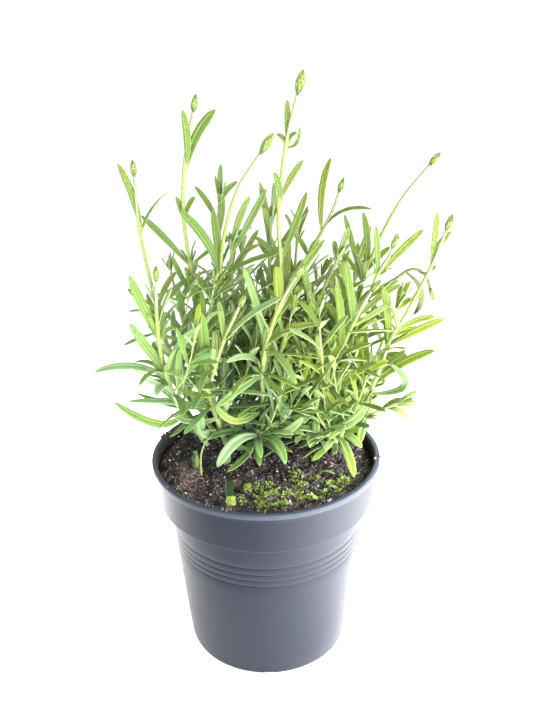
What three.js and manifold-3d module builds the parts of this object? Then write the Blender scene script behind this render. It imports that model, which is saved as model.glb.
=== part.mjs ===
// A potted lavender: a young plant of leafy shoots growing in the soil of a round nursery pot.
//
// Millimetres, +Z up. The origin is the centre of the pot's foot, on the surface that it
// stands on. -Y is the front. Every shoot is one solid with its leaves, and stands in a
// plain hole in the soil. Every flower head is a solid of its own, socketed on its stalk.

import * as THREE from 'three';
import { mergeVertices } from 'three/addons/utils/BufferGeometryUtils.js';
import Module from 'manifold-3d';

const wasm = await Module();
wasm.setup();

// ---------------------------------------------------------------- driving dimensions

const POT = {
  height: 120,
  rimRadius: 65,
  lipHeight: 3,
  collarTopRadius: 63.1,
  collarFootRadius: 61.8,
  collarFootHeight: 96,
  bodyTopRadius: 56.6,
  bodyFootRadius: 47.8,
  wall: 1.3,
  ledge: 0.4,
  edge: 0.7,
  floor: 3,
  footRounding: 1.8,
  footBevel: 0.3,
  grooveHeights: [67, 71, 75, 79.5],
  grooveWidth: 1.6,
  grooveDepth: 0.5,
  channelCount: 6,
  channelDepth: 1.5,
  channelWidth: 5,
  channelStart: 24,
  drainHoleRadius: 4,
  drainHoleCircle: 36,
  drainHoleSides: 8,
  segments: 36,
};

const SOIL = {
  level: 114,
  rise: 0.3,
  sideFall: 0.8,
  edgeHeight: 112,
  wallGap: 1.8,
  segments: 28,
  rings: [20, 39, 58],
};

// Waves of the soil's lumpy top: [height, turn for a mm across, turn for a mm back, start].
const SOIL_WAVES = [[0.6, 0.23, 0.19, 0.9], [0.5, 0.41, -0.33, 0.8], [0.3, 0.27, 0.62, 1.6]];

const GAP = 0.4;
const HOLE_GAP = 0.5;
const WELD = 1e-4;

const STEM = {
  sides: 5,
  footRadius: 1.35,
  tipRadius: 0.65,
  buried: 12,
  footStations: [-12, 2, 11],
  scanStep: 2,
  longestSpan: 36,
  sharpestTurn: 14,
  stepsPerSpan: 24,
};

const LEAF = {
  width: 3.9,
  smallWidth: 3.2,
  smallLength: 31,
  keel: 1.1,
  footKeel: 0.66,
  footWidth: 0.25,
  lean: 0.8,
  bluntness: 0.45,
  stations: [0, 0.22, 0.5, 0.78],
  shortStations: [0, 0.25, 0.68],
  tinyLength: 17,
  tinyStations: [0, 0.5],
};

const HEADS = {
  small: { length: 8.5, radius: 1.95, rows: 4, sides: 6 },
  large: { length: 13.5, radius: 2.8, rows: 7, sides: 8 },
};
const HEAD_FORM = { foot: 0.2, bluntness: 0.8, low: 0.86, high: 1.1 };
const SOCKET_DEPTH = 2.2;

// Colour and roughness.
const FINISHES = {
  pot: [0x636a78, 0.5],
  soil: [0x33271f, 0.95],
  leaf: [0x7fb04e, 0.6],
  olderLeaf: [0x6f9d6c, 0.6],
  bud: [0x9cba5a, 0.7],
  withered: [0x6d5238, 0.8],
};

// ---------------------------------------------------------------- shoots
//
// root: where the shoot leaves the soil, [x, y].
// path: further points that its stem passes through, [x, y, z].
// leaves: [place along the stem from the soil, compass angle, rise angle, length, arch, facing]
// and a width where it isn't the usual one. The compass angle is measured from +X towards +Y.
// The arch is the rise of the leaf's middle as a share of its length. The facing turns the
// upper side of the blade from up (0) to the front (90); a leaf with none faces its stem.
// grown: [first place, last place, spacing] of the pairs that are grown by rule.

const SHOOTS = [
  { root: [-30, 28],
    path: [[-47, 30, 149], [-57, 30, 175], [-62, 28, 209], [-66, 24, 244], [-66, 20, 276]],
    head: 'small',
    grown: [16, 94, 30],
    leaves: [[135, -145, 75, 39, 0.03, 60], [136, -25, 50, 30, 0.08, 30]] },
  { root: [-34, 16],
    path: [[-46, 5, 142], [-51, -4, 162], [-54, -12, 183], [-54, -20, 209], [-52, -26, 233]],
    head: 'small',
    grown: [10, 106, 30],
    leaves: [[91, -165, 70, 39, 0.02, 60, 4.8], [90, 50, 15, 14, 0.25, 20],
      [65, -160, 60, 37, 0, 60, 5], [63, 175, 5, 41, 0.06, 40], [59, -30, 60, 43, 0.08, 70],
      [46, 130, 10, 24, 0.05, 60], [46, -60, 60, 25, 0, 50], [98, 140, 40, 28, 0.02, 60]] },
  { root: [-24, 34],
    path: [[-35, 38, 145], [-38, 34, 182], [-40, 30, 217], [-42, 26, 249], [-40, 22, 277],
      [-33, 18, 308]],
    head: 'small',
    grown: [12, 84, 20],
    leaves: [[166, -85, 75, 33, 0.02, 70], [166, -15, 60, 35, 0.04, 60, 5],
      [111, 165, 45, 38, 0.03, 30], [111, 15, 30, 41, 0.04, 20], [91, -150, 65, 28, 0, 60],
      [91, 25, 45, 25, 0.05, 30], [139, 150, 65, 12, 0.03, 40], [139, -30, 60, 14, 0.03, 40]] },
  { root: [-17, 27],
    path: [[-25, 30, 138], [-23, 24, 179], [-23, 18, 219], [-20, 14, 243], [-12, 10, 268],
      [1, 6, 288]],
    head: 'large',
    grown: [12, 92, 24],
    leaves: [[108, -155, 60, 43, 0.02, 60, 5], [107, -25, 25, 39, 0.06, 30],
      [110, 120, 80, 35, 0, 80], [74, -150, 65, 41, 0.03, 60], [71, 25, 55, 30, 0.05, 50]] },
  { root: [-24, 19],
    path: [[-27, 11, 132], [-31, -3, 160], [-28, -8, 172], [-21, -18, 195], [-16, -24, 208],
      [-11, -30, 220]],
    head: 'small',
    grown: [10, 72, 20],
    leaves: [[92, 115, 75, 21, 0.03, 70], [92, -30, 40, 45, 0.04, 30],
      [56, -115, 85, 45, 0, 80, 5.4], [54, 140, 65, 22, 0, 60], [35, -165, 25, 44, -0.08, 30],
      [26, -140, 25, 32, -0.12, 40], [38, 175, 0, 56, -0.1, 30], [48, 55, -15, 15, 0.1, 30]] },
  { root: [-2, 19],
    path: [[-1, 6, 147], [-1, -5, 170], [1, -13, 190], [8, -24, 216], [17, -33, 236]],
    head: 'small',
    grown: [12, 92, 20],
    leaves: [[82, -155, 75, 47, 0.04, 70], [83, -25, 30, 33, 0.1, 30],
      [108, -100, 75, 27, 0.02, 80, 5], [111, 15, 55, 40, 0.02, 70],
      [62, -145, -20, 33, 0.04, 50], [61, -165, 25, 23, 0.28, 30], [60, 45, 60, 32, 0, 80],
      [36, -135, -5, 20, 0.08, 30], [36, -40, 35, 27, 0.12, 65]] },
  { root: [6, 29],
    path: [[11, 30, 176], [10, 24, 226], [9, 20, 255], [13, 14, 290], [19, 8, 316]],
    head: 'large',
    grown: [14, 132, 32],
    leaves: [[178, -85, 80, 21, 0.04, 70], [148, 25, 55, 23, 0.06, 70],
      [145, -120, 70, 22, 0.05, 60], [112, 30, 65, 40, 0.02, 70],
      [112, 145, 35, 21, 0.05, 40], [176, 160, 50, 8, 0.2, 30], [176, 10, 55, 9, 0.2, 30]] },
  { root: [1, 38],
    path: [[4, 44, 177], [4, 40, 218], [5, 38, 242]],
    grown: [16, 92, 25],
    leaves: [[109, -145, 75, 44, 0.02, 75], [127, -135, 65, 14, 0.05, 40],
      [127, 60, 80, 25, 0, 70], [109, 130, 45, 15, 0, 60], [112, -40, 30, 17, 0.06, 20],
      [107, 25, 50, 35, 0.06, 10]] },
  { root: [12, 35],
    path: [[16, 50, 175], [23, 46, 214], [35, 40, 240], [40, 37, 252], [43, 34, 263]],
    head: 'small',
    grown: [14, 104, 26],
    leaves: [[130, -70, 80, 41, 0.03, 75], [130, -20, 35, 32, 0.16, 20],
      [112, 130, 50, 13, 0.05, 40], [112, 55, 35, 15, 0.05, 60]] },
  { root: [30, 24],
    path: [[34, 8, 147], [40, -6, 180], [46, -15, 202], [52, -22, 219], [55, -25, 225]],
    head: 'small',
    grown: [10, 62, 20],
    leaves: [[74, -115, 80, 43, 0.03, 80], [74, -45, 35, 24, 0.06, 40],
      [73, -155, 15, 21, 0.05, 20], [97, 20, 25, 24, 0.03, 50], [98, 140, 80, 34, 0.03, 75],
      [39, -25, 40, 48, 0.04, 50], [36, -175, 35, 38, 0.04, 20]] },
  { root: [33, 31],
    path: [[45, 22, 154], [51, 11, 192], [57, 4, 213], [60, 0, 224], [65, -4, 235],
      [67, -6, 242]],
    head: 'small',
    grown: [12, 76, 21],
    leaves: [[117, -115, 75, 30, 0.03, 75], [118, -10, 50, 33, 0.03, 70],
      [89, 150, 65, 32, 0.03, 60], [89, 30, 25, 31, 0.05, 50]] },
  { root: [32, 38],
    path: [[46, 40, 152], [52, 38, 191], [59, 34, 217], [66, 30, 238], [76, 24, 260],
      [89, 18, 279]],
    head: 'small',
    grown: [14, 70, 20],
    leaves: [[105, 110, 80, 34, 0.04, 60], [106, -40, 55, 23, 0.04, 60],
      [78, 145, 60, 30, 0.04, 60], [80, 25, 25, 34, 0.08, 30]] },
  { root: [38, 22],
    path: [[51, 16, 134], [61, 8, 156], [68, 0, 186], [75, -5, 203], [81, -10, 220],
      [86, -14, 235], [91, -18, 254]],
    head: 'small',
    grown: [12, 110, 33],
    leaves: [[134, -85, 80, 28, 0.02, 70], [134, 25, 55, 19, 0.08, 60],
      [87, 20, 15, 26, 0.1, 60], [80, -10, 30, 33, 0.04, 50], [81, -145, 80, 34, 0.03, 60],
      [49, -10, 35, 42, 0.08, 50], [57, 25, 20, 24, 0.03, 50], [78, 115, -50, 21, 0.1, 0],
      [107, 40, 45, 12, 0, 60]] },
  { root: [40, 29],
    path: [[56, 40, 165], [68, 40, 200], [78, 38, 211], [86, 36, 216], [93, 34, 212],
      [96, 33, 204]],
    head: 'small',
    withered: true,
    leaves: [[112, -40, -75, 25, 0.3, 60], [120, -45, 25, 12, -0.2, 0],
      [89, 140, 40, 19, 0.05, 40], [60, -20, 30, 18, 0.1, 30]] },
  { root: [38, 14],
    path: [[51, 12, 127], [59, 8, 137], [68, 5, 143], [75, 2, 148]],
    leaves: [[49, 0, 5, 11, 0.08, 40], [45, -25, -20, 14, 0.14, 20],
      [41, 25, 15, 15, 0.05, 40], [30, -115, -45, 15, 0.2, 40], [30, 80, 40, 18, 0.1, 30],
      [16, -20, 45, 20, 0.1, 30]] },
  { root: [41, 37],
    path: [[64, 44, 150], [74, 42, 177], [80, 40, 196]],
    grown: [10, 48, 18],
    leaves: [[85, 55, 70, 15, 0, 70], [85, -25, 45, 13, 0.05, 60], [66, 15, 10, 24, 0.08, 40],
      [63, 145, 60, 23, 0.03, 60], [51, -20, 15, 20, 0.1, 30]] },
  { root: [-17, 40],
    path: [[-23, 46, 164], [-24, 44, 209], [-24, 40, 244], [-23, 38, 256]],
    grown: [16, 104, 29],
    leaves: [[140, 65, 80, 23, 0.02, 75], [140, -40, 50, 20, 0.08, 50],
      [129, 155, 55, 25, 0.08, 40], [124, -70, 70, 27, 0, 70]] },
  { root: [-9, 34],
    path: [[-14, 36, 168], [-17, 32, 207], [-17, 28, 231]],
    grown: [14, 88, 25],
    leaves: [[117, -20, 70, 34, 0.03, 75], [116, 10, 60, 40, 0, 75],
      [103, -30, 50, 26, 0.12, 40], [103, 30, 60, 32, 0.05, 60]] },
  { root: [19, 28],
    path: [[24, 24, 160], [28, 18, 193], [33, 14, 212], [40, 10, 230]],
    grown: [10, 76, 20],
    leaves: [[82, -140, 75, 36, 0.03, 60], [119, 105, 65, 11, 0, 70],
      [118, -35, 70, 22, 0.03, 70], [103, 40, 35, 19, 0.03, 60], [85, -10, 35, 34, 0.04, 30]] },
  { root: [23, 41],
    path: [[41, 56, 152], [49, 54, 186], [56, 52, 208]],
    grown: [12, 72, 22],
    leaves: [[99, -30, 75, 35, 0.02, 75], [98, 70, 75, 24, 0.05, 60],
      [78, 140, 60, 24, 0.05, 50]] },
  { root: [-6, 12],
    path: [[-6, 8, 122], [-3, 4, 128]],
    leaves: [[16, -160, 5, 18, 0.12, 40, 6], [16, -135, -10, 34, 0.22, 40, 6],
      [16, -40, 10, 23, 0.1, 30], [14, -55, -5, 31, 0.18, 40], [14, -80, 0, 24, 0.15, 10],
      [14, -160, -5, 31, 0.2, 30], [16, 35, 15, 11, 0.05, 30]] },
  { root: [28, 17],
    path: [[29, 14, 124], [28, 10, 132]],
    leaves: [[21, -125, -30, 22, 0.2, 40], [20, -100, -25, 23, 0.2, 40],
      [21, -75, -15, 25, 0.2, 40], [20, -50, -30, 21, 0.2, 40], [19, -165, 25, 15, 0.1, 40],
      [20, 110, 45, 14, 0.05, 40]] },
  { root: [40, 7],
    path: [[41, 9, 121], [41, 6, 128]],
    leaves: [[12, -72, -12, 36, 0.14, 10, 5], [12, -25, 12, 17, 0.12, 40],
      [13, -50, 0, 20, 0.14, 40], [14, 60, 50, 14, 0.05, 50]] },
  { root: [-26, 44],
    path: [[-44, 62, 148], [-52, 72, 180], [-57, 77, 205]],
    grown: [10, 94, 22],
    leaves: [] },
  { root: [-6, 47],
    path: [[-10, 66, 150], [-12, 80, 186], [-13, 86, 212]],
    grown: [10, 96, 22],
    leaves: [] },
  { root: [13, 47],
    path: [[16, 62, 152], [19, 70, 196], [22, 74, 232]],
    grown: [10, 114, 26],
    leaves: [] },
  { root: [28, 47],
    path: [[43, 64, 146], [48, 78, 178], [51, 84, 202]],
    grown: [10, 92, 21],
    leaves: [] },
];

const DRY_TWIG = { root: [24, 12], path: [[23, 11, 121], [22, 10, 129]] };

// How a pair grown by rule is made.
const GROWTH = {
  seed: 41,
  quarterTurn: 90,
  placeSpread: 1.5,
  turnSpread: 14,
  lowRise: 42,
  highRise: 66,
  riseSpread: 7,
  length: 33,
  tipShare: 0.62,
  lengthSpread: 0.14,
  arch: 0.05,
  pairReach: 7,
  sameSide: 70,
};

// What a leaf tries when its first place is taken: [turn, rise, share of its length].
const TRIES = [
  [0, 0, 1], [7, 0, 1], [-7, 0, 1], [0, 7, 1], [0, -7, 1], [14, 0, 1], [-14, 0, 1],
  [8, 8, 0.95], [-8, 8, 0.95], [8, -8, 0.95], [-8, -8, 0.95], [24, 0, 0.92], [-24, 0, 0.92],
  [0, 15, 0.92], [0, -15, 0.92], [0, 0, 0.78], [14, 0, 0.78], [-14, 0, 0.78], [0, 12, 0.78],
  [32, 14, 0.78], [-32, 14, 0.78], [0, 0, 0.6], [22, 10, 0.6], [-22, 10, 0.6],
];

const CLEARANCE = {
  cell: 3.3,
  step: 2,
  blade: 1.3,
  margin: 0.3,
  across: 0.32,
  wideBlade: 2.4,
  ownRoot: 8,
  ownBlade: 0.75,
  overSoil: 1.6,
  rimInside: 57.5,
  rimTop: 123.5,
  cellsAcross: 1024,
};

// ---------------------------------------------------------------- solids

/** A closed geometry as a manifold-3d solid. */
function toSolid(geometry) {
  const bare = geometry.clone();
  bare.deleteAttribute('normal');
  bare.deleteAttribute('uv');
  const merged = mergeVertices(bare, WELD);
  const index = merged.index.array;
  const triangles = [];
  for (let i = 0; i < index.length; i += 3) {
    const [a, b, c] = index.slice(i, i + 3);
    if (a !== b && b !== c && c !== a) triangles.push(a, b, c);
  }
  return new wasm.Manifold(new wasm.Mesh({
    numProp: 3,
    vertProperties: new Float32Array(merged.attributes.position.array),
    triVerts: new Uint32Array(triangles),
  }));
}

/** The largest body of a solid, without the loose scraps that a join can leave. */
function mainBody(solid) {
  return solid.decompose().reduce((best, body) => (body.volume() > best.volume() ? body : best));
}

/** A manifold-3d solid as a geometry that three.js can show. */
function toGeometry(solid) {
  const mesh = solid.getMesh();
  const geometry = new THREE.BufferGeometry();
  geometry.setAttribute('position', new THREE.BufferAttribute(mesh.vertProperties, 3));
  geometry.setIndex(new THREE.BufferAttribute(mesh.triVerts, 1));
  geometry.computeVertexNormals();
  return geometry;
}

/** A named mesh with a material of its own. */
function piece(name, geometry, [color, roughness]) {
  const material = new THREE.MeshStandardMaterial({ color, roughness, metalness: 0 });
  const mesh = new THREE.Mesh(geometry, material);
  mesh.name = name;
  return mesh;
}

/** Closed skin over rings of points, ending in a flat cap or in one tip point. */
function loft(rings, tip) {
  const sides = rings[0].length;
  const points = rings.flat();
  const faces = [];
  for (let row = 0; row + 1 < rings.length; row += 1) {
    for (let side = 0; side < sides; side += 1) {
      const a = row * sides + side;
      const b = row * sides + (side + 1) % sides;
      faces.push(a, b, b + sides, a, b + sides, a + sides);
    }
  }
  const last = (rings.length - 1) * sides;
  for (let side = 1; side + 1 < sides; side += 1) {
    faces.push(0, side + 1, side);
    if (!tip) faces.push(last, last + side, last + side + 1);
  }
  if (tip) {
    points.push(tip);
    for (let side = 0; side < sides; side += 1) {
      faces.push(last + side, last + (side + 1) % sides, points.length - 1);
    }
  }
  const geometry = new THREE.BufferGeometry().setFromPoints(points);
  geometry.setIndex(faces);
  return geometry;
}

// ---------------------------------------------------------------- pot and soil

/** Outer radius of the pot's tapering body. */
function bodyRadius(z) {
  const share = z / POT.collarFootHeight;
  return POT.bodyFootRadius + (POT.bodyTopRadius - POT.bodyFootRadius) * share;
}

/** Outer radius of the pot's collar. */
function collarRadius(z) {
  const share = (z - POT.collarFootHeight) / (POT.height - POT.lipHeight - POT.collarFootHeight);
  return POT.collarFootRadius + (POT.collarTopRadius - POT.collarFootRadius) * share;
}

/** The pot's section, from the middle of its foot out, up, over the lip and down inside. */
function potProfile() {
  const { height, lipHeight, rimRadius, wall, floor, footRounding, edge } = POT;
  const step = POT.collarFootHeight;
  const lip = height - lipHeight;
  const bevel = POT.footBevel * footRounding;
  const profile = [
    [0, 0],
    [bodyRadius(0) - footRounding, 0],
    [bodyRadius(0) - bevel, bevel],
    [bodyRadius(footRounding), footRounding],
  ];
  for (const z of POT.grooveHeights) {
    profile.push([bodyRadius(z - POT.grooveWidth / 2), z - POT.grooveWidth / 2]);
    profile.push([bodyRadius(z) - POT.grooveDepth, z]);
    profile.push([bodyRadius(z + POT.grooveWidth / 2), z + POT.grooveWidth / 2]);
  }
  profile.push(
    [bodyRadius(step - wall), step - wall],
    [collarRadius(step) - edge, step - edge],
    [collarRadius(step + edge), step + edge],
    [collarRadius(lip), lip],
    [rimRadius - edge, lip],
    [rimRadius, lip + edge],
    [rimRadius, height - edge],
    [rimRadius - edge, height],
    [collarRadius(lip) - wall + edge, height],
    [collarRadius(lip) - wall, height - edge],
    [collarRadius(step) - wall, step + wall],
    [bodyRadius(step) - wall, step + POT.ledge],
    [bodyRadius(floor) - wall, floor],
    [0, floor],
  );
  return profile.map(([radius, z]) => new THREE.Vector2(radius, z));
}

/** The pot: a thin turned shell with drain holes in channels that run out under the foot. */
function makePot() {
  const shell = new THREE.LatheGeometry(potProfile(), POT.segments).rotateX(Math.PI / 2);
  let solid = toSolid(shell);
  const channelLength = POT.bodyTopRadius - POT.channelStart;
  for (let i = 0; i < POT.channelCount; i += 1) {
    const angle = (i + 0.5) * 2 * Math.PI / POT.channelCount;
    const channel = new THREE.BoxGeometry(channelLength, POT.channelWidth, 2 * POT.channelDepth)
      .translate(POT.channelStart + channelLength / 2, 0, 0)
      .rotateZ(angle);
    const hole = new THREE.CylinderGeometry(
      POT.drainHoleRadius, POT.drainHoleRadius, 4 * POT.floor, POT.drainHoleSides)
      .rotateX(Math.PI / 2)
      .translate(POT.drainHoleCircle, 0, 0)
      .rotateZ(angle);
    solid = solid.subtract(toSolid(channel)).subtract(toSolid(hole));
  }
  return piece('pot', toGeometry(solid), FINISHES.pot);
}

/** Height of the lumpy top of the soil. */
function soilHeight(x, y) {
  const lumps = SOIL_WAVES.reduce(
    (sum, [height, across, back, start]) => (
      sum + height * Math.sin(across * x + back * y + start)),
    0);
  return SOIL.level + SOIL.rise + lumps - SOIL.sideFall * (x / POT.rimRadius) ** 2;
}

/** The soil: it fills the pot inside, with a hole for every stem. */
function makeSoil(stems) {
  const ring = (radius, height) => {
    const points = [];
    for (let i = 0; i < SOIL.segments; i += 1) {
      const angle = i * 2 * Math.PI / SOIL.segments;
      const x = radius * Math.cos(angle);
      const y = radius * Math.sin(angle);
      points.push(new THREE.Vector3(x, y, height === null ? soilHeight(x, y) : height));
    }
    return points;
  };
  const step = POT.collarFootHeight;
  const inside = SOIL.wallGap;
  const rings = [
    ring(bodyRadius(POT.floor) - inside, POT.floor + GAP),
    ring(bodyRadius(step) - inside, step + POT.ledge + GAP),
    ring(collarRadius(step) - inside, step + POT.wall + GAP),
    ring(collarRadius(SOIL.edgeHeight) - inside, SOIL.edgeHeight),
  ];
  for (const radius of [...SOIL.rings].reverse()) rings.push(ring(radius, null));
  let solid = toSolid(loft(rings, new THREE.Vector3(0, 0, soilHeight(0, 0))));
  for (const stem of stems) solid = solid.subtract(toSolid(stemHole(stem)));
  return piece('soil', toGeometry(solid), FINISHES.soil);
}

// ---------------------------------------------------------------- stems

/** A stem's line, from its buried end up, with the length along it at each dense point. */
function makeLine(root, path) {
  const points = [
    new THREE.Vector3(root[0], root[1], SOIL.level - STEM.buried),
    new THREE.Vector3(root[0], root[1], SOIL.level),
    ...path.map((point) => new THREE.Vector3(...point)),
  ];
  const curve = new THREE.CatmullRomCurve3(points, false, 'catmullrom', 0.5);
  const dense = curve.getPoints((points.length - 1) * STEM.stepsPerSpan);
  const along = [0];
  for (let i = 1; i < dense.length; i += 1) {
    along.push(along[i - 1] + dense[i].distanceTo(dense[i - 1]));
  }
  const rootPlace = along[STEM.stepsPerSpan];
  return { dense, along: along.map((length) => length - rootPlace) };
}

/** The point and direction of a line at a length measured from the soil. */
function placeOn(line, length) {
  const { dense, along } = line;
  let i = 1;
  while (i + 1 < along.length && along[i] < length) i += 1;
  const share = (length - along[i - 1]) / (along[i] - along[i - 1]);
  const point = dense[i - 1].clone().lerp(dense[i], THREE.MathUtils.clamp(share, 0, 1));
  const direction = dense[i].clone().sub(dense[i - 1]).normalize();
  return { point, direction };
}

/** A stem's radius, which shrinks evenly from the soil to its tip. */
function stemRadius(line, length) {
  const share = THREE.MathUtils.clamp(length / line.along.at(-1), 0, 1);
  return THREE.MathUtils.lerp(STEM.footRadius, STEM.tipRadius, share);
}

/** The lengths at which a stem has its rings: closer at its foot and where it bends. */
function stemStations(line) {
  const end = line.along.at(-1) - GAP;
  const socket = end - 2 * SOCKET_DEPTH;
  const stations = STEM.footStations.filter((length) => length < end);
  for (let length = stations.at(-1); length < socket - STEM.scanStep; length += STEM.scanStep) {
    const last = placeOn(line, stations.at(-1)).direction;
    const turn = THREE.MathUtils.radToDeg(placeOn(line, length).direction.angleTo(last));
    const span = length - stations.at(-1);
    if (turn > STEM.sharpestTurn || span > STEM.longestSpan) stations.push(length);
  }
  return [...stations, socket, end].filter((length, i, all) => !i || length > all[i - 1]);
}

/** The middle of a stem's own tube at a length: on the straight between two of its rings. */
function stemMiddle(line, length) {
  const stations = stemStations(line);
  const next = Math.max(1, stations.findIndex((station) => station >= length));
  const [from, to] = [stations[next - 1], stations[next]];
  const share = (length - from) / (to - from);
  return placeOn(line, from).point.lerp(placeOn(line, to).point, share);
}

/** A tube through a line's stations, wider than the stem by a clearance. */
function stemTube(line, stations, clearance) {
  const rings = stations.map((length) => {
    const { point, direction } = placeOn(line, length);
    const side = new THREE.Vector3(0, 1, 0).cross(direction).normalize();
    const other = direction.clone().cross(side);
    const radius = stemRadius(line, length) + clearance;
    return Array.from({ length: STEM.sides }, (_, k) => {
      const angle = k * 2 * Math.PI / STEM.sides;
      return point.clone()
        .addScaledVector(side, radius * Math.cos(angle))
        .addScaledVector(other, radius * Math.sin(angle));
    });
  });
  return loft(rings);
}

/** The tool that cuts a stem's hole in the soil: a wider tube along the stem's foot. */
function stemHole(line) {
  const [deepest, ...others] = STEM.footStations;
  return stemTube(line, [deepest - GAP, ...others], HOLE_GAP);
}

/** A bare stem. */
function stemSolid(line) {
  return toSolid(stemTube(line, stemStations(line), 0));
}

// ---------------------------------------------------------------- leaves

/** Unit vector of a compass angle and a rise angle, in degrees. */
function heading(turn, rise) {
  const a = THREE.MathUtils.degToRad(turn);
  const b = THREE.MathUtils.degToRad(rise);
  return new THREE.Vector3(Math.cos(a) * Math.cos(b), Math.sin(a) * Math.cos(b), Math.sin(b));
}

/** The part of a vector that is square to a unit direction, as a unit vector. */
function squareTo(vector, direction) {
  return vector.clone().addScaledVector(direction, -vector.dot(direction)).normalize();
}

/** A leaf's midrib as a quadratic curve, with its blade's sideways and upward directions. */
function makeLeaf(line, [place, turn, rise, length, arch, facing, width]) {
  const base = stemMiddle(line, place);
  const chord = heading(turn, rise);
  const lift = squareTo(new THREE.Vector3(0, 0, 1), chord);
  const tip = base.clone().addScaledVector(chord, length);
  const middle = base.clone()
    .addScaledVector(chord, length / 2)
    .addScaledVector(lift, 2 * arch * length);
  const usual = length < LEAF.smallLength ? LEAF.smallWidth : LEAF.width;
  const upper = facing === null ? heading(turn + 180, 45) : heading(-90, 90 - facing);
  return { base, middle, tip, upper, length, width: width ?? usual };
}

/** Point and blade directions of a leaf at a share of its length. */
function leafAt(leaf, share) {
  const { base, middle, tip } = leaf;
  const point = base.clone().multiplyScalar((1 - share) ** 2)
    .addScaledVector(middle, 2 * share * (1 - share))
    .addScaledVector(tip, share ** 2);
  const direction = base.clone().multiplyScalar(share - 1)
    .addScaledVector(middle, 1 - 2 * share)
    .addScaledVector(tip, share)
    .normalize();
  const up = squareTo(leaf.upper, direction);
  return { point, up, side: direction.clone().cross(up) };
}

/** Width of a leaf at a share of its length: a narrow foot, a broad middle, a blunt point. */
function leafWidth(leaf, share) {
  const swell = Math.sin(Math.PI * share ** LEAF.lean) ** LEAF.bluntness;
  return leaf.width * (LEAF.footWidth + (1 - LEAF.footWidth) * swell);
}

/** The shares of its length at which a leaf has its rings: fewer on a shorter leaf. */
function leafStations(leaf) {
  if (leaf.length < LEAF.tinyLength) return LEAF.tinyStations;
  return leaf.length < LEAF.smallLength ? LEAF.shortStations : LEAF.stations;
}

/** A leaf's solid: flat above and keeled below, with its foot sunk in the stem. */
function leafSolid(leaf) {
  const rings = leafStations(leaf).map((share) => {
    const { point, up, side } = leafAt(leaf, share);
    const half = leafWidth(leaf, share) / 2;
    return [
      point.clone().addScaledVector(side, -half),
      point.clone().addScaledVector(side, half),
      point.clone().addScaledVector(up, -(share ? LEAF.keel : LEAF.footKeel)),
    ];
  });
  const tip = leaf.tip.clone().addScaledVector(leafAt(leaf, 1).up, -LEAF.keel / 2);
  return toSolid(loft(rings, tip));
}

// ---------------------------------------------------------------- keeping clear

/** The taken places: balls along every stem and blade, in a grid of cells. */
class Thicket {
  constructor() {
    this.cells = new Map();
  }

  static key(...cell) {
    const across = CLEARANCE.cellsAcross;
    return cell.reduce((key, place) => key * across + place + across / 2, 0);
  }

  add(ball) {
    const [i, j, k] = ball.point.toArray().map((value) => Math.floor(value / CLEARANCE.cell));
    const key = Thicket.key(i, j, k);
    if (!this.cells.has(key)) this.cells.set(key, []);
    this.cells.get(key).push(ball);
  }

  isFree(ball) {
    const [i, j, k] = ball.point.toArray().map((value) => Math.floor(value / CLEARANCE.cell));
    for (let cell = 0; cell < 27; cell += 1) {
      const key = Thicket.key(
        i + cell % 3 - 1, j + Math.floor(cell / 3) % 3 - 1, k + Math.floor(cell / 9) - 1);
      for (const other of this.cells.get(key) ?? []) {
        if (Thicket.touches(ball, other)) return false;
      }
    }
    return true;
  }

  static touches(ball, other) {
    let reach = ball.radius + other.radius + CLEARANCE.margin;
    if (other.shoot === ball.shoot) {
      if (ball.fromRoot < CLEARANCE.ownRoot || other.fromRoot < CLEARANCE.ownRoot) return false;
      reach = 2 * CLEARANCE.ownBlade;
    }
    return ball.point.distanceTo(other.point) < reach;
  }
}

/** Balls along a stem's line above the soil. */
function stemBalls(line, shoot) {
  const balls = [];
  for (let length = 0; length <= line.along.at(-1); length += CLEARANCE.step) {
    const { point } = placeOn(line, length);
    const radius = stemRadius(line, length) + CLEARANCE.margin;
    balls.push({ point, radius, shoot, fromRoot: CLEARANCE.ownRoot });
  }
  return balls;
}

/** Balls over a leaf's blade, in one row or three. */
function leafBalls(leaf, shoot) {
  const balls = [];
  const count = Math.ceil(leaf.length / CLEARANCE.step);
  for (let i = 1; i <= count; i += 1) {
    const share = i / count;
    const { point, up, side } = leafAt(leaf, share);
    const width = leafWidth(leaf, share);
    const rows = width > CLEARANCE.wideBlade ? [-1, 0, 1] : [0];
    for (const row of rows) {
      balls.push({
        point: point.clone()
          .addScaledVector(side, row * width * CLEARANCE.across)
          .addScaledVector(up, -LEAF.keel / 3),
        radius: CLEARANCE.blade,
        shoot,
        fromRoot: share * leaf.length,
      });
    }
  }
  return balls;
}

/** Whether a ball keeps off the soil and off the pot's rim. */
function isOffPot(point) {
  if (point.z > CLEARANCE.rimTop) return true;
  if (Math.hypot(point.x, point.y) > CLEARANCE.rimInside) return false;
  return point.z > soilHeight(point.x, point.y) + CLEARANCE.overSoil;
}

/** A leaf at the first of its tries that is free, or null when none is. */
function settleLeaf(thicket, line, shoot, wish) {
  for (const [turn, rise, share] of TRIES) {
    const [place, wishTurn, wishRise, length, ...rest] = wish;
    const leaf = makeLeaf(line, [place, wishTurn + turn, wishRise + rise, length * share, ...rest]);
    const balls = leafBalls(leaf, shoot);
    const offPot = balls.every((ball) => isOffPot(ball.point));
    if (offPot && balls.every((ball) => thicket.isFree(ball))) {
      balls.forEach((ball) => thicket.add(ball));
      return leaf;
    }
  }
  return null;
}

// ---------------------------------------------------------------- growth

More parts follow.
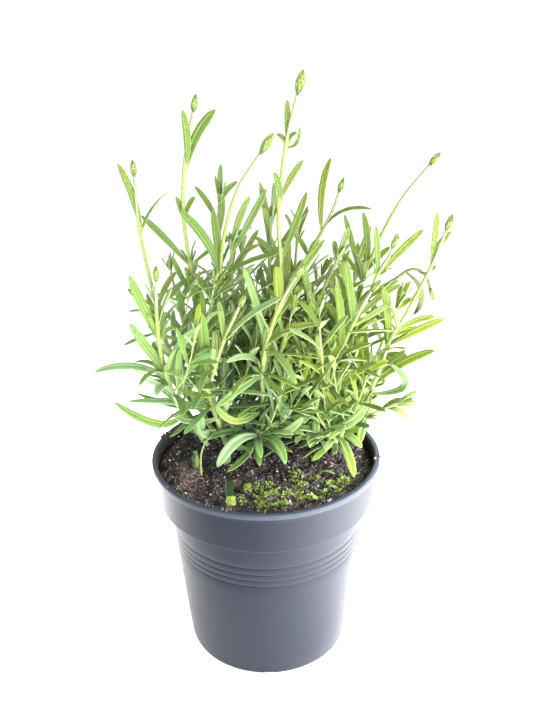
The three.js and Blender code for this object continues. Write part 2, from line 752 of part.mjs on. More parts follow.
/** Evenly spread numbers from 0 to 1, the same for the same seed. */
function makeRandom(seed) {
  let state = seed >>> 0;
  return () => {
    state = (state + 0x6d2b79f5) >>> 0;
    let t = Math.imul(state ^ (state >>> 15), state | 1);
    t ^= t + Math.imul(t ^ (t >>> 7), t | 61);
    return ((t ^ (t >>> 14)) >>> 0) / 4294967296;
  };
}

/** The wishes of the pairs that a shoot grows by rule, each a quarter turn past the last. */
function grownWishes(shoot, index) {
  const random = makeRandom(GROWTH.seed + index);
  const spread = (amount) => (2 * random() - 1) * amount;
  const wishes = [];
  if (!shoot.grown) return wishes;
  const [first, last, spacing] = shoot.grown;
  let turn = 180 * random();
  for (let place = first; place <= last; place += spacing) {
    const share = (place - first) / Math.max(last - first, 1);
    for (const side of [0, 180]) {
      const wish = [
        place + spread(GROWTH.placeSpread),
        turn + side + spread(GROWTH.turnSpread),
        THREE.MathUtils.lerp(GROWTH.lowRise, GROWTH.highRise, share) + spread(GROWTH.riseSpread),
        GROWTH.length * THREE.MathUtils.lerp(1, GROWTH.tipShare, share ** 2)
          * (1 + spread(GROWTH.lengthSpread)),
        GROWTH.arch + spread(GROWTH.arch),
        null,
      ];
      const isTaken = shoot.leaves.some((leaf) => Math.abs(leaf[0] - wish[0]) < GROWTH.pairReach
        && Math.cos(THREE.MathUtils.degToRad(leaf[1] - wish[1]))
          > Math.cos(THREE.MathUtils.degToRad(GROWTH.sameSide)));
      if (!isTaken) wishes.push(wish);
    }
    turn += GROWTH.quarterTurn;
  }
  return wishes;
}

/** Every shoot's settled leaves: first the placed ones, then those grown by rule. */
function growLeaves(lines) {
  const thicket = new Thicket();
  lines.forEach((line, i) => stemBalls(line, i).forEach((ball) => thicket.add(ball)));
  const settled = SHOOTS.map(() => []);
  const settle = (wishes, i) => {
    for (const wish of wishes) {
      const leaf = settleLeaf(thicket, lines[i], i, wish);
      if (leaf) settled[i].push(leaf);
    }
  };
  SHOOTS.forEach((shoot, i) => settle(shoot.leaves, i));
  SHOOTS.forEach((shoot, i) => settle(grownWishes(shoot, i), i));
  return settled;
}

// ---------------------------------------------------------------- flower heads

/** A flower head: a pointed bud whose scales stand out in alternate rows. */
function headSolid(line, kind) {
  const { length, radius, rows, sides } = HEADS[kind];
  const end = placeOn(line, line.along.at(-1));
  const foot = end.point.clone().addScaledVector(end.direction, -SOCKET_DEPTH);
  const side = new THREE.Vector3(0, 1, 0).cross(end.direction).normalize();
  const other = end.direction.clone().cross(side);
  const rings = [];
  for (let row = 0; row < rows; row += 1) {
    const share = row / rows;
    const swell = Math.sin(Math.PI * (HEAD_FORM.foot + (1 - HEAD_FORM.foot) * share));
    const girth = radius * swell ** HEAD_FORM.bluntness;
    const ring = [];
    for (let k = 0; k < sides; k += 1) {
      const angle = k * 2 * Math.PI / sides;
      const relief = row === 0 || (row + k) % 2 ? HEAD_FORM.low : HEAD_FORM.high;
      ring.push(foot.clone()
        .addScaledVector(end.direction, share * length)
        .addScaledVector(side, relief * girth * Math.cos(angle))
        .addScaledVector(other, relief * girth * Math.sin(angle)));
    }
    rings.push(ring);
  }
  const tip = foot.clone().addScaledVector(end.direction, length);
  const stalkEnd = line.along.at(-1);
  const socket = stemTube(line, [stalkEnd - GAP - 2 * SOCKET_DEPTH, stalkEnd], GAP);
  return toSolid(loft(rings, tip)).subtract(toSolid(socket));
}

// ---------------------------------------------------------------- assembly

/** A count as two digits, for the end of a name. */
function twoDigits(count) {
  return String(count).padStart(2, '0');
}

const plant = new THREE.Group();
const lines = SHOOTS.map((shoot) => makeLine(shoot.root, shoot.path));
const twigLine = makeLine(DRY_TWIG.root, DRY_TWIG.path);
const leavesOfShoots = growLeaves(lines);

plant.add(makePot());
plant.add(makeSoil([...lines, twigLine]));
plant.add(piece('dry_twig', toGeometry(stemSolid(twigLine)), FINISHES.withered));

let headCount = 0;
SHOOTS.forEach((shoot, i) => {
  const solid = leavesOfShoots[i].reduce(
    (joined, leaf) => joined.add(leafSolid(leaf)), stemSolid(lines[i]));
  const green = i % 3 ? FINISHES.leaf : FINISHES.olderLeaf;
  const stemName = shoot.withered ? 'withered_stem' : `leafy_stem_${twoDigits(i + 1)}`;
  const stemFinish = shoot.withered ? FINISHES.withered : green;
  plant.add(piece(stemName, toGeometry(mainBody(solid)), stemFinish));
  if (!shoot.head) return;
  headCount += 1;
  const headName = shoot.withered ? 'withered_head' : `flower_head_${twoDigits(headCount)}`;
  const headFinish = shoot.withered ? FINISHES.withered : FINISHES.bud;
  plant.add(piece(headName, toGeometry(headSolid(lines[i], shoot.head)), headFinish));
});

export default plant;
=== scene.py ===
"""Looks of the potted lavender: a young plant of leafy shoots in a round nursery pot.

Lengths are worked out in millimetres and written to Blender in metres, in the part's own
frame: +Z up, the origin in the middle of the pot's foot, and -Y the front. Every shoot is
grown again along its own line from its own leaves, finer than the solid that it stands for.
"""

import logging
import math
from dataclasses import dataclass, replace
from enum import Enum
from typing import Any, Callable, Sequence

import bmesh
import bpy
import numpy as np
from bpy.types import ColorRamp, Material, Node, NodeSocket, Object
from mathutils import Matrix, Vector, noise
from mathutils.kdtree import KDTree


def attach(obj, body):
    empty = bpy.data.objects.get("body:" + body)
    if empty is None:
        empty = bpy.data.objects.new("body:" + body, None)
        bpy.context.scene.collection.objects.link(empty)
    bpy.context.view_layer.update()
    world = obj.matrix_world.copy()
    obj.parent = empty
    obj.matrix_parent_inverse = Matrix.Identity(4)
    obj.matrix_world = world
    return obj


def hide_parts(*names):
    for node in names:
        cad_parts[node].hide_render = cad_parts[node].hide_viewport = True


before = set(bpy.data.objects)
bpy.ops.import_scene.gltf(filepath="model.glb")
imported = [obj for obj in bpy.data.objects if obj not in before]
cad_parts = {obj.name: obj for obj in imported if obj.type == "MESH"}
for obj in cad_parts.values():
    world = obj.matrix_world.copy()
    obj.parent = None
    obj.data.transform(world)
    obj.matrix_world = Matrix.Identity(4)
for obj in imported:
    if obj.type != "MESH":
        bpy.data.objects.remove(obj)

log = logging.getLogger("lavender")

MM = 0.001
ACROSS, BACK, UP = np.eye(3)
Array = np.ndarray
Pair = tuple[float, float]
Triple = tuple[float, float, float]


# ---- named options


class HeadKind(Enum):
    """Sizes of flower head."""

    SMALL = "small"
    LARGE = "large"


class LeafDetail(Enum):
    """How finely a leaf is made: rings along it and points across each face."""

    FULL = (17, 11)
    YOUNG = (11, 7)
    BUD = (8, 5)


class Slot(Enum):
    """Material slots of the part's record."""

    POT = "pot"
    SOIL = "soil"
    FOLIAGE = "foliage"
    BUD = "bud"
    WITHERED = "withered"


class Cut(Enum):
    """What is cut out of the pot's foot."""

    CHANNEL = "channel"
    HOLE = "hole"


# ---- the plant's plan


@dataclass(frozen=True)
class ShootPlan:
    """One shoot: where it leaves the soil, what its stem passes through, and its leaves.

    A leaf is (place along the stem, compass angle, rise angle, length, arch, facing) and a
    width where it isn't the usual one. The pairs grown by rule are (first, last, spacing).
    """

    root: Pair
    path: tuple[Triple, ...]
    head: HeadKind | None = None
    withered: bool = False
    grown: Triple | None = None
    leaves: tuple[tuple[float, ...], ...] = ()


SHOOTS: tuple[ShootPlan, ...] = (
    ShootPlan((-30, 28), ((-47, 30, 149), (-57, 30, 175), (-62, 28, 209), (-66, 24, 244),
        (-66, 20, 276)), HeadKind.SMALL, grown=(16, 94, 30), leaves=(
        (135, -145, 75, 39, 0.03, 60), (136, -25, 50, 30, 0.08, 30))),
    ShootPlan((-34, 16), ((-46, 5, 142), (-51, -4, 162), (-54, -12, 183), (-54, -20, 209),
        (-52, -26, 233)), HeadKind.SMALL, grown=(10, 106, 30), leaves=(
        (91, -165, 70, 39, 0.02, 60, 4.8), (90, 50, 15, 14, 0.25, 20),
        (65, -160, 60, 37, 0, 60, 5), (63, 175, 5, 41, 0.06, 40), (59, -30, 60, 43, 0.08, 70),
        (46, 130, 10, 24, 0.05, 60), (46, -60, 60, 25, 0, 50), (98, 140, 40, 28, 0.02, 60))),
    ShootPlan((-24, 34), ((-35, 38, 145), (-38, 34, 182), (-40, 30, 217), (-42, 26, 249),
        (-40, 22, 277), (-33, 18, 308)), HeadKind.SMALL, grown=(12, 84, 20), leaves=(
        (166, -85, 75, 33, 0.02, 70), (166, -15, 60, 35, 0.04, 60, 5),
        (111, 165, 45, 38, 0.03, 30), (111, 15, 30, 41, 0.04, 20), (91, -150, 65, 28, 0, 60),
        (91, 25, 45, 25, 0.05, 30), (139, 150, 65, 12, 0.03, 40), (139, -30, 60, 14, 0.03, 40))),
    ShootPlan((-17, 27), ((-25, 30, 138), (-23, 24, 179), (-23, 18, 219), (-20, 14, 243),
        (-12, 10, 268), (1, 6, 288)), HeadKind.LARGE, grown=(12, 92, 24), leaves=(
        (108, -155, 60, 43, 0.02, 60, 5), (107, -25, 25, 39, 0.06, 30), (110, 120, 80, 35, 0, 80),
        (74, -150, 65, 41, 0.03, 60), (71, 25, 55, 30, 0.05, 50))),
    ShootPlan((-24, 19), ((-27, 11, 132), (-31, -3, 160), (-28, -8, 172), (-21, -18, 195),
        (-16, -24, 208), (-11, -30, 220)), HeadKind.SMALL, grown=(10, 72, 20), leaves=(
        (92, 115, 75, 21, 0.03, 70), (92, -30, 40, 45, 0.04, 30), (56, -115, 85, 45, 0, 80, 5.4),
        (54, 140, 65, 22, 0, 60), (35, -165, 25, 44, -0.08, 30), (26, -140, 25, 32, -0.12, 40),
        (38, 175, 0, 56, -0.1, 30), (48, 55, -15, 15, 0.1, 30))),
    ShootPlan((-2, 19), ((-1, 6, 147), (-1, -5, 170), (1, -13, 190), (8, -24, 216),
        (17, -33, 236)), HeadKind.SMALL, grown=(12, 92, 20), leaves=(
        (82, -155, 75, 47, 0.04, 70), (83, -25, 30, 33, 0.1, 30),
        (108, -100, 75, 27, 0.02, 80, 5), (111, 15, 55, 40, 0.02, 70),
        (62, -145, -20, 33, 0.04, 50), (61, -165, 25, 23, 0.28, 30), (60, 45, 60, 32, 0, 80),
        (36, -135, -5, 20, 0.08, 30), (36, -40, 35, 27, 0.12, 65))),
    ShootPlan((6, 29), ((11, 30, 176), (10, 24, 226), (9, 20, 255), (13, 14, 290), (19, 8, 316)),
        HeadKind.LARGE, grown=(14, 132, 32), leaves=((178, -85, 80, 21, 0.04, 70),
        (148, 25, 55, 23, 0.06, 70), (145, -120, 70, 22, 0.05, 60), (112, 30, 65, 40, 0.02, 70),
        (112, 145, 35, 21, 0.05, 40), (176, 160, 50, 8, 0.2, 30), (176, 10, 55, 9, 0.2, 30))),
    ShootPlan((1, 38), ((4, 44, 177), (4, 40, 218), (5, 38, 242)), grown=(16, 92, 25), leaves=(
        (109, -145, 75, 44, 0.02, 75), (127, -135, 65, 14, 0.05, 40), (127, 60, 80, 25, 0, 70),
        (109, 130, 45, 15, 0, 60), (112, -40, 30, 17, 0.06, 20), (107, 25, 50, 35, 0.06, 10))),
    ShootPlan((12, 35), ((16, 50, 175), (23, 46, 214), (35, 40, 240), (40, 37, 252),
        (43, 34, 263)), HeadKind.SMALL, grown=(14, 104, 26), leaves=(
        (130, -70, 80, 41, 0.03, 75), (130, -20, 35, 32, 0.16, 20), (112, 130, 50, 13, 0.05, 40),
        (112, 55, 35, 15, 0.05, 60))),
    ShootPlan((30, 24), ((34, 8, 147), (40, -6, 180), (46, -15, 202), (52, -22, 219),
        (55, -25, 225)), HeadKind.SMALL, grown=(10, 62, 20), leaves=(
        (74, -115, 80, 43, 0.03, 80), (74, -45, 35, 24, 0.06, 40), (73, -155, 15, 21, 0.05, 20),
        (97, 20, 25, 24, 0.03, 50), (98, 140, 80, 34, 0.03, 75), (39, -25, 40, 48, 0.04, 50),
        (36, -175, 35, 38, 0.04, 20))),
    ShootPlan((33, 31), ((45, 22, 154), (51, 11, 192), (57, 4, 213), (60, 0, 224), (65, -4, 235),
        (67, -6, 242)), HeadKind.SMALL, grown=(12, 76, 21), leaves=(
        (117, -115, 75, 30, 0.03, 75), (118, -10, 50, 33, 0.03, 70), (89, 150, 65, 32, 0.03, 60),
        (89, 30, 25, 31, 0.05, 50))),
    ShootPlan((32, 38), ((46, 40, 152), (52, 38, 191), (59, 34, 217), (66, 30, 238),
        (76, 24, 260), (89, 18, 279)), HeadKind.SMALL, grown=(14, 70, 20), leaves=(
        (105, 110, 80, 34, 0.04, 60), (106, -40, 55, 23, 0.04, 60), (78, 145, 60, 30, 0.04, 60),
        (80, 25, 25, 34, 0.08, 30))),
    ShootPlan((38, 22), ((51, 16, 134), (61, 8, 156), (68, 0, 186), (75, -5, 203), (81, -10, 220),
        (86, -14, 235), (91, -18, 254)), HeadKind.SMALL, grown=(12, 110, 33), leaves=(
        (134, -85, 80, 28, 0.02, 70), (134, 25, 55, 19, 0.08, 60), (87, 20, 15, 26, 0.1, 60),
        (80, -10, 30, 33, 0.04, 50), (81, -145, 80, 34, 0.03, 60), (49, -10, 35, 42, 0.08, 50),
        (57, 25, 20, 24, 0.03, 50), (78, 115, -50, 21, 0.1, 0), (107, 40, 45, 12, 0, 60))),
    ShootPlan((40, 29), ((56, 40, 165), (68, 40, 200), (78, 38, 211), (86, 36, 216),
        (93, 34, 212), (96, 33, 204)), HeadKind.SMALL, withered=True, leaves=(
        (112, -40, -75, 25, 0.3, 60), (120, -45, 25, 12, -0.2, 0), (89, 140, 40, 19, 0.05, 40),
        (60, -20, 30, 18, 0.1, 30))),
    ShootPlan((38, 14), ((51, 12, 127), (59, 8, 137), (68, 5, 143), (75, 2, 148)), leaves=(
        (49, 0, 5, 11, 0.08, 40), (45, -25, -20, 14, 0.14, 20), (41, 25, 15, 15, 0.05, 40),
        (30, -115, -45, 15, 0.2, 40), (30, 80, 40, 18, 0.1, 30), (16, -20, 45, 20, 0.1, 30))),
    ShootPlan((41, 37), ((64, 44, 150), (74, 42, 177), (80, 40, 196)), grown=(10, 48, 18),
        leaves=((85, 55, 70, 15, 0, 70), (85, -25, 45, 13, 0.05, 60), (66, 15, 10, 24, 0.08, 40),
        (63, 145, 60, 23, 0.03, 60), (51, -20, 15, 20, 0.1, 30))),
    ShootPlan((-17, 40), ((-23, 46, 164), (-24, 44, 209), (-24, 40, 244), (-23, 38, 256)),
        grown=(16, 104, 29), leaves=((140, 65, 80, 23, 0.02, 75), (140, -40, 50, 20, 0.08, 50),
        (129, 155, 55, 25, 0.08, 40), (124, -70, 70, 27, 0, 70))),
    ShootPlan((-9, 34), ((-14, 36, 168), (-17, 32, 207), (-17, 28, 231)), grown=(14, 88, 25),
        leaves=((117, -20, 70, 34, 0.03, 75), (116, 10, 60, 40, 0, 75),
        (103, -30, 50, 26, 0.12, 40), (103, 30, 60, 32, 0.05, 60))),
    ShootPlan((19, 28), ((24, 24, 160), (28, 18, 193), (33, 14, 212), (40, 10, 230)),
        grown=(10, 76, 20), leaves=((82, -140, 75, 36, 0.03, 60), (119, 105, 65, 11, 0, 70),
        (118, -35, 70, 22, 0.03, 70), (103, 40, 35, 19, 0.03, 60), (85, -10, 35, 34, 0.04, 30))),
    ShootPlan((23, 41), ((41, 56, 152), (49, 54, 186), (56, 52, 208)), grown=(12, 72, 22),
        leaves=((99, -30, 75, 35, 0.02, 75), (98, 70, 75, 24, 0.05, 60),
        (78, 140, 60, 24, 0.05, 50))),
    ShootPlan((-6, 12), ((-6, 8, 122), (-3, 4, 128)), leaves=((16, -160, 5, 18, 0.12, 40, 6),
        (16, -135, -10, 34, 0.22, 40, 6), (16, -40, 10, 23, 0.1, 30), (14, -55, -5, 31, 0.18, 40),
        (14, -80, 0, 24, 0.15, 10), (14, -160, -5, 31, 0.2, 30), (16, 35, 15, 11, 0.05, 30))),
    ShootPlan((28, 17), ((29, 14, 124), (28, 10, 132)), leaves=((21, -125, -30, 22, 0.2, 40),
        (20, -100, -25, 23, 0.2, 40), (21, -75, -15, 25, 0.2, 40), (20, -50, -30, 21, 0.2, 40),
        (19, -165, 25, 15, 0.1, 40), (20, 110, 45, 14, 0.05, 40))),
    ShootPlan((40, 7), ((41, 9, 121), (41, 6, 128)), leaves=((12, -72, -12, 36, 0.14, 10, 5),
        (12, -25, 12, 17, 0.12, 40), (13, -50, 0, 20, 0.14, 40), (14, 60, 50, 14, 0.05, 50))),
    ShootPlan((-26, 44), ((-44, 62, 148), (-52, 72, 180), (-57, 77, 205)), grown=(10, 94, 22)),
    ShootPlan((-6, 47), ((-10, 66, 150), (-12, 80, 186), (-13, 86, 212)), grown=(10, 96, 22)),
    ShootPlan((13, 47), ((16, 62, 152), (19, 70, 196), (22, 74, 232)), grown=(10, 114, 26)),
    ShootPlan((28, 47), ((43, 64, 146), (48, 78, 178), (51, 84, 202)), grown=(10, 92, 21)),
)

TWIG = ShootPlan(root=(24, 12), path=((23, 11, 121), (22, 10, 129)))


@dataclass(frozen=True)
class BentLeaf:
    """A leaf from its place along a stem through a middle point to its tip."""

    place: float
    middle: Triple
    tip: Triple
    width: float
    tone: float
    age: float


# Leaves that bend further than a row of a plan can say, by the shoot's number.
BENT: dict[int, BentLeaf] = {
    7: BentLeaf(176, (18, 13, 290), (20, 13, 298), 1.8, 0.6, 0.0),
    2: BentLeaf(34, (-60, -4, 141), (-83, -4, 155), 4.8, 0.6, 0.5),
    5: BentLeaf(12, (-35, -1, 133), (-35, -6, 148), 5.4, 0.13, 1.0),
    6: BentLeaf(32, (-16, -10, 145), (-27, -9, 155), 4.4, 0.25, 0.2),
    19: BentLeaf(22, (12, -2, 144), (7, -3, 158), 4.6, 0.12, 0.8),
    21: BentLeaf(14, (10, -6, 135), (21, -7, 145), 4.6, 0.13, 0.7),
    22: BentLeaf(17, (45, -4, 138), (58, -2, 152), 5.0, 0.5, 0.6),
    13: BentLeaf(44, (78, 3, 158), (69, 2, 173), 4.4, 0.25, 0.9),
}

# Leaves, by shoot and row, that stand as first wished although their solids had to turn.
AS_WISHED = {(0, 0), (4, 4)}

# What a leaf tries when its first place is taken: (turn, rise, share of its length).
TRIES: tuple[Triple, ...] = (
    (0, 0, 1), (7, 0, 1), (-7, 0, 1), (0, 7, 1), (0, -7, 1), (14, 0, 1), (-14, 0, 1),
    (8, 8, 0.95), (-8, 8, 0.95), (8, -8, 0.95), (-8, -8, 0.95), (24, 0, 0.92), (-24, 0, 0.92),
    (0, 15, 0.92), (0, -15, 0.92), (0, 0, 0.78), (14, 0, 0.78), (-14, 0, 0.78), (0, 12, 0.78),
    (32, 14, 0.78), (-32, 14, 0.78), (0, 0, 0.6), (22, 10, 0.6), (-22, 10, 0.6),
)


@dataclass(frozen=True)
class Growth:
    """How a pair of leaves grown by rule is made."""

    seed: int = 41
    quarter_turn: float = 90
    turn_spread: float = 14
    low_rise: float = 42
    high_rise: float = 66
    rise_spread: float = 7
    length: float = 33
    tip_share: float = 0.62
    length_spread: float = 0.14
    arch: float = 0.05
    place_spread: float = 1.5
    pair_reach: float = 7
    same_side: float = 70


@dataclass(frozen=True)
class StemSizes:
    """Sizes of a stem and of the rings that its solid has."""

    foot_radius: float = 1.35
    tip_radius: float = 0.65
    buried: float = 12
    foot_stations: tuple[float, ...] = (-12, 2, 11)
    scan_step: float = 2
    longest_span: float = 36
    sharpest_turn: float = 14
    steps_per_span: int = 24
    gap: float = 0.4
    socket_depth: float = 2.2


@dataclass(frozen=True)
class LeafSizes:
    """Sizes of a usual leaf and of the keel under its solid."""

    width: float = 3.9
    small_width: float = 3.2
    small_length: float = 31
    keel: float = 1.1
    outline: tuple[Pair, ...] = (
        (0, 0.3), (0.1, 0.5), (0.25, 0.74), (0.45, 0.95), (0.64, 1.0), (0.8, 0.92),
        (0.91, 0.7), (0.97, 0.42), (1, 0.12))


@dataclass(frozen=True)
class PotSizes:
    """Sizes of the pot."""

    height: float = 120
    rim_radius: float = 65
    lip_height: float = 3
    collar_top_radius: float = 63.1
    collar_foot_radius: float = 61.8
    collar_foot_height: float = 96
    body_top_radius: float = 56.6
    body_foot_radius: float = 47.8
    wall: float = 1.3
    floor: float = 3
    foot_rounding: float = 1.8
    groove_heights: tuple[float, ...] = (67, 71, 75, 79.5)
    groove_width: float = 1.6
    groove_depth: float = 0.25
    channel_count: int = 6
    channel_depth: float = 1.5
    channel_width: float = 5
    channel_start: float = 24
    drain_hole_radius: float = 4
    drain_hole_circle: float = 36

    def body_radius(self, z: float) -> float:
        """Outer radius of the tapering body at a height."""
        share = z / self.collar_foot_height
        return self.body_foot_radius + (self.body_top_radius - self.body_foot_radius) * share

    def collar_radius(self, z: float) -> float:
        """Outer radius of the collar at a height."""
        share = (z - self.collar_foot_height) / (
            self.height - self.lip_height - self.collar_foot_height)
        return self.collar_foot_radius + (self.collar_top_radius - self.collar_foot_radius) * share


GROWTH = Growth()
STEM = StemSizes()
LEAF = LeafSizes()
POT = PotSizes()
SOIL_LEVEL = 114.0


def soil_height(x: Array, y: Array) -> Array:
    """Height of the lumpy top of the soil.

    Args:
        x: Places across.
        y: Places from front to back.

    Returns:
        The heights.
    """
    lumps = (0.6 * np.sin(0.23 * x + 0.19 * y + 0.9)
             + 0.5 * np.sin(0.41 * x - 0.33 * y + 0.8)
             + 0.3 * np.sin(0.27 * x + 0.62 * y + 1.6))
    return SOIL_LEVEL + 0.3 + lumps - 0.8 * (x / POT.rim_radius) ** 2


# ---- vectors


def heading(turn: float, rise: float) -> Array:
    """Unit vector of a compass angle and a rise angle, in degrees."""
    a, b = math.radians(turn), math.radians(rise)
    return np.array([math.cos(a) * math.cos(b), math.sin(a) * math.cos(b), math.sin(b)])


def unit(vectors: Array) -> Array:
    """The vectors at a length of one."""
    return vectors / np.maximum(np.linalg.norm(vectors, axis=-1, keepdims=True), 1e-9)


def square_to(vectors: Array, directions: Array) -> Array:
    """The part of each vector that is square to its unit direction, as a unit vector."""
    return unit(vectors - (vectors * directions).sum(-1, keepdims=True) * directions)


def smooth_step(low: float, high: float, values: Array) -> Array:
    """Values eased from 0 at low to 1 at high."""
    t = np.clip((values - low) / (high - low), 0, 1)
    return t * t * (3 - 2 * t)


def round_angles(count: int) -> Array:
    """Angles spread evenly round a circle."""
    return np.arange(count) * 2 * np.pi / count


def ways_round(ways: Array, guide: Array = BACK) -> tuple[Array, Array]:
    """Two ways square to each way and to each other, the first of them nearest a guide."""
    side = square_to(np.broadcast_to(guide, ways.shape), ways)
    return side, np.cross(ways, side)


def outward(side: Array, other: Array, angles: Array | float) -> Array:
    """Ways out at angles turned from one side towards the other."""
    angles = np.asarray(angles)[..., None]
    return side * np.cos(angles) + other * np.sin(angles)


class Dice:
    """Evenly spread numbers from 0 to 1, the same ones for the same seed as in the part."""

    MASK = 0xFFFFFFFF

    def __init__(self, seed: int) -> None:
        """Starts the row of numbers at a seed."""
        self.state = seed & self.MASK

    def roll(self) -> float:
        """The next number.

        Returns:
            A number from 0 to 1.
        """
        self.state = (self.state + 0x6D2B79F5) & self.MASK
        t = ((self.state ^ (self.state >> 15)) * (self.state | 1)) & self.MASK
        t ^= (t + ((t ^ (t >> 7)) * (t | 61) & self.MASK)) & self.MASK
        return ((t ^ (t >> 14)) & self.MASK) / 4294967296

    def spread(self, amount: float) -> float:
        """The next number, between minus and plus an amount."""
        return (2 * self.roll() - 1) * amount


# ---- lines and leaves


@dataclass(frozen=True)
class StemLine:
    """A stem's line from its buried end up: dense points and the length along it at each."""

    points: Array
    along: Array

    @classmethod
    def through(cls, root: Sequence[float], path: Sequence[Sequence[float]]) -> "StemLine":
        """The line of a stem.

        Args:
            root: Where the stem leaves the soil.
            path: The further points that it passes through.

        Returns:
            The line, measured from the soil.
        """
        knots = np.array([
            (*root, SOIL_LEVEL - STEM.buried), (*root, SOIL_LEVEL), *path], dtype=float)
        before = 2 * knots[0] - knots[1]
        after = 2 * knots[-1] - knots[-2]
        guides = np.vstack([before, knots, after])
        dense = []
        for i in range(len(knots) - 1):
            p0, p1, p2, p3 = guides[i:i + 4]
            out, into = 0.5 * (p2 - p0), 0.5 * (p3 - p1)
            for step in range(STEM.steps_per_span):
                w = step / STEM.steps_per_span
                dense.append(p1 + out * w + (3 * (p2 - p1) - 2 * out - into) * w ** 2
                             + (2 * (p1 - p2) + out + into) * w ** 3)
        dense = np.array([*dense, knots[-1]])
        spans = np.linalg.norm(np.diff(dense, axis=0), axis=1)
        along = np.concatenate([[0.0], np.cumsum(spans)])
        return cls(dense, along - along[STEM.steps_per_span])

    @property
    def end(self) -> float:
        """Length from the soil to the tip."""
        return float(self.along[-1])

    def at(self, lengths: Array | float) -> tuple[Array, Array]:
        """Points and directions on the line.

        Args:
            lengths: Lengths measured from the soil.

        Returns:
            The points and the unit directions.
        """
        i = np.clip(np.searchsorted(self.along, lengths), 1, len(self.along) - 1)
        step = self.points[i] - self.points[i - 1]
        share = (lengths - self.along[i - 1]) / (self.along[i] - self.along[i - 1])
        share = np.clip(share, 0, 1)[..., None]
        return self.points[i - 1] + share * step, unit(step)

    def radius(self, lengths: Array | float) -> Array:
        """The stem's radius at lengths: it shrinks evenly from the soil to its tip."""
        share = np.clip(lengths / self.end, 0, 1)
        return STEM.foot_radius + (STEM.tip_radius - STEM.foot_radius) * share

    def stations(self) -> list[float]:
        """The lengths at which the stem's solid has its rings.

        Returns:
            The lengths, from the buried end up.
        """
        end = self.end - STEM.gap
        socket = end - 2 * STEM.socket_depth
        found = [length for length in STEM.foot_stations if length < end]
        length = found[-1]
        while length < socket - STEM.scan_step:
            turn = float(np.dot(self.at(found[-1])[1], self.at(length)[1]))
            bends = math.degrees(math.acos(min(1.0, turn))) > STEM.sharpest_turn
            if bends or length - found[-1] > STEM.longest_span:
                found.append(length)
            length += STEM.scan_step
        both = [*found, socket, end]
        return [value for i, value in enumerate(both) if not i or value > both[i - 1]]

    def middle(self, length: float) -> Array:
        """The middle of the stem's solid: on the straight between two of its rings.

        Args:
            length: Length measured from the soil.

        Returns:
            The point.
        """
        stations = self.stations()
        above = max(1, next((i for i, value in enumerate(stations) if value >= length), -1))
        low, high = stations[above - 1], stations[above]
        share = (length - low) / (high - low)
        return self.at(low)[0] * (1 - share) + self.at(high)[0] * share


@dataclass(frozen=True)
class Leaf:
    """A leaf's midrib as a quadratic curve, with the way its upper side faces."""

    base: Array
    middle: Array
    tip: Array
    upper: Array
    length: float
    width: float
    place: float = 0.0

    @classmethod
    def towards(cls, base: Array, chord: Array, length: float, arch: float, upper: Array,
                width: float, place: float = 0.0) -> "Leaf":
        """A leaf from its base along a chord.

        Args:
            base: Where its midrib starts.
            chord: Unit direction from its base to its tip.
            length: Distance from base to tip.
            arch: Rise of its middle as a share of its length.
            upper: The way its upper side faces.
            width: Widest width of its blade.
            place: Place of its base along the stem.

        Returns:
            The leaf.
        """
        lift = square_to(UP, chord)
        middle = base + chord * length / 2 + lift * 2 * arch * length
        return cls(base, middle, base + chord * length, upper, length, width, place)

    @classmethod
    def wished(cls, line: StemLine, wish: Sequence[float | None]) -> "Leaf":
        """The leaf that a row of a shoot's plan describes.

        Args:
            line: The stem's line.
            wish: The row. With no facing the leaf faces its stem.

        Returns:
            The leaf.
        """
        place, turn, rise, length, arch, facing = wish[:6]
        usual = LEAF.small_width if length < LEAF.small_length else LEAF.width
        width = wish[6] if len(wish) > 6 else usual
        upper = heading(turn + 180, 45) if facing is None else heading(-90, 90 - facing)
        return cls.towards(
            line.middle(place), heading(turn, rise), length, arch, upper, width, place)

    def spine(self, shares: Array) -> tuple[Array, Array, Array, Array]:
        """The midrib and its ways.

        Args:
            shares: Shares of the leaf's length.

        Returns:
            Points, directions, upward and sideways directions.
        """
        s = np.asarray(shares, dtype=float)[..., None]
        points = self.base * (1 - s) ** 2 + self.middle * 2 * s * (1 - s) + self.tip * s ** 2
        directions = unit(self.base * (s - 1) + self.middle * (1 - 2 * s) + self.tip * s)
        return points, directions, *ways_round(directions, self.upper)

    def corner(self) -> Array:
        """The tip corner of the leaf's solid."""
        return self.tip - self.spine(1.0)[2] * LEAF.keel / 2

    def breadth(self, shares: Array) -> Array:
        """Width at shares of the length: a narrow foot, a broad middle, a blunt point."""
        places, widths = zip(*LEAF.outline)
        return self.width * np.interp(shares, places, widths)


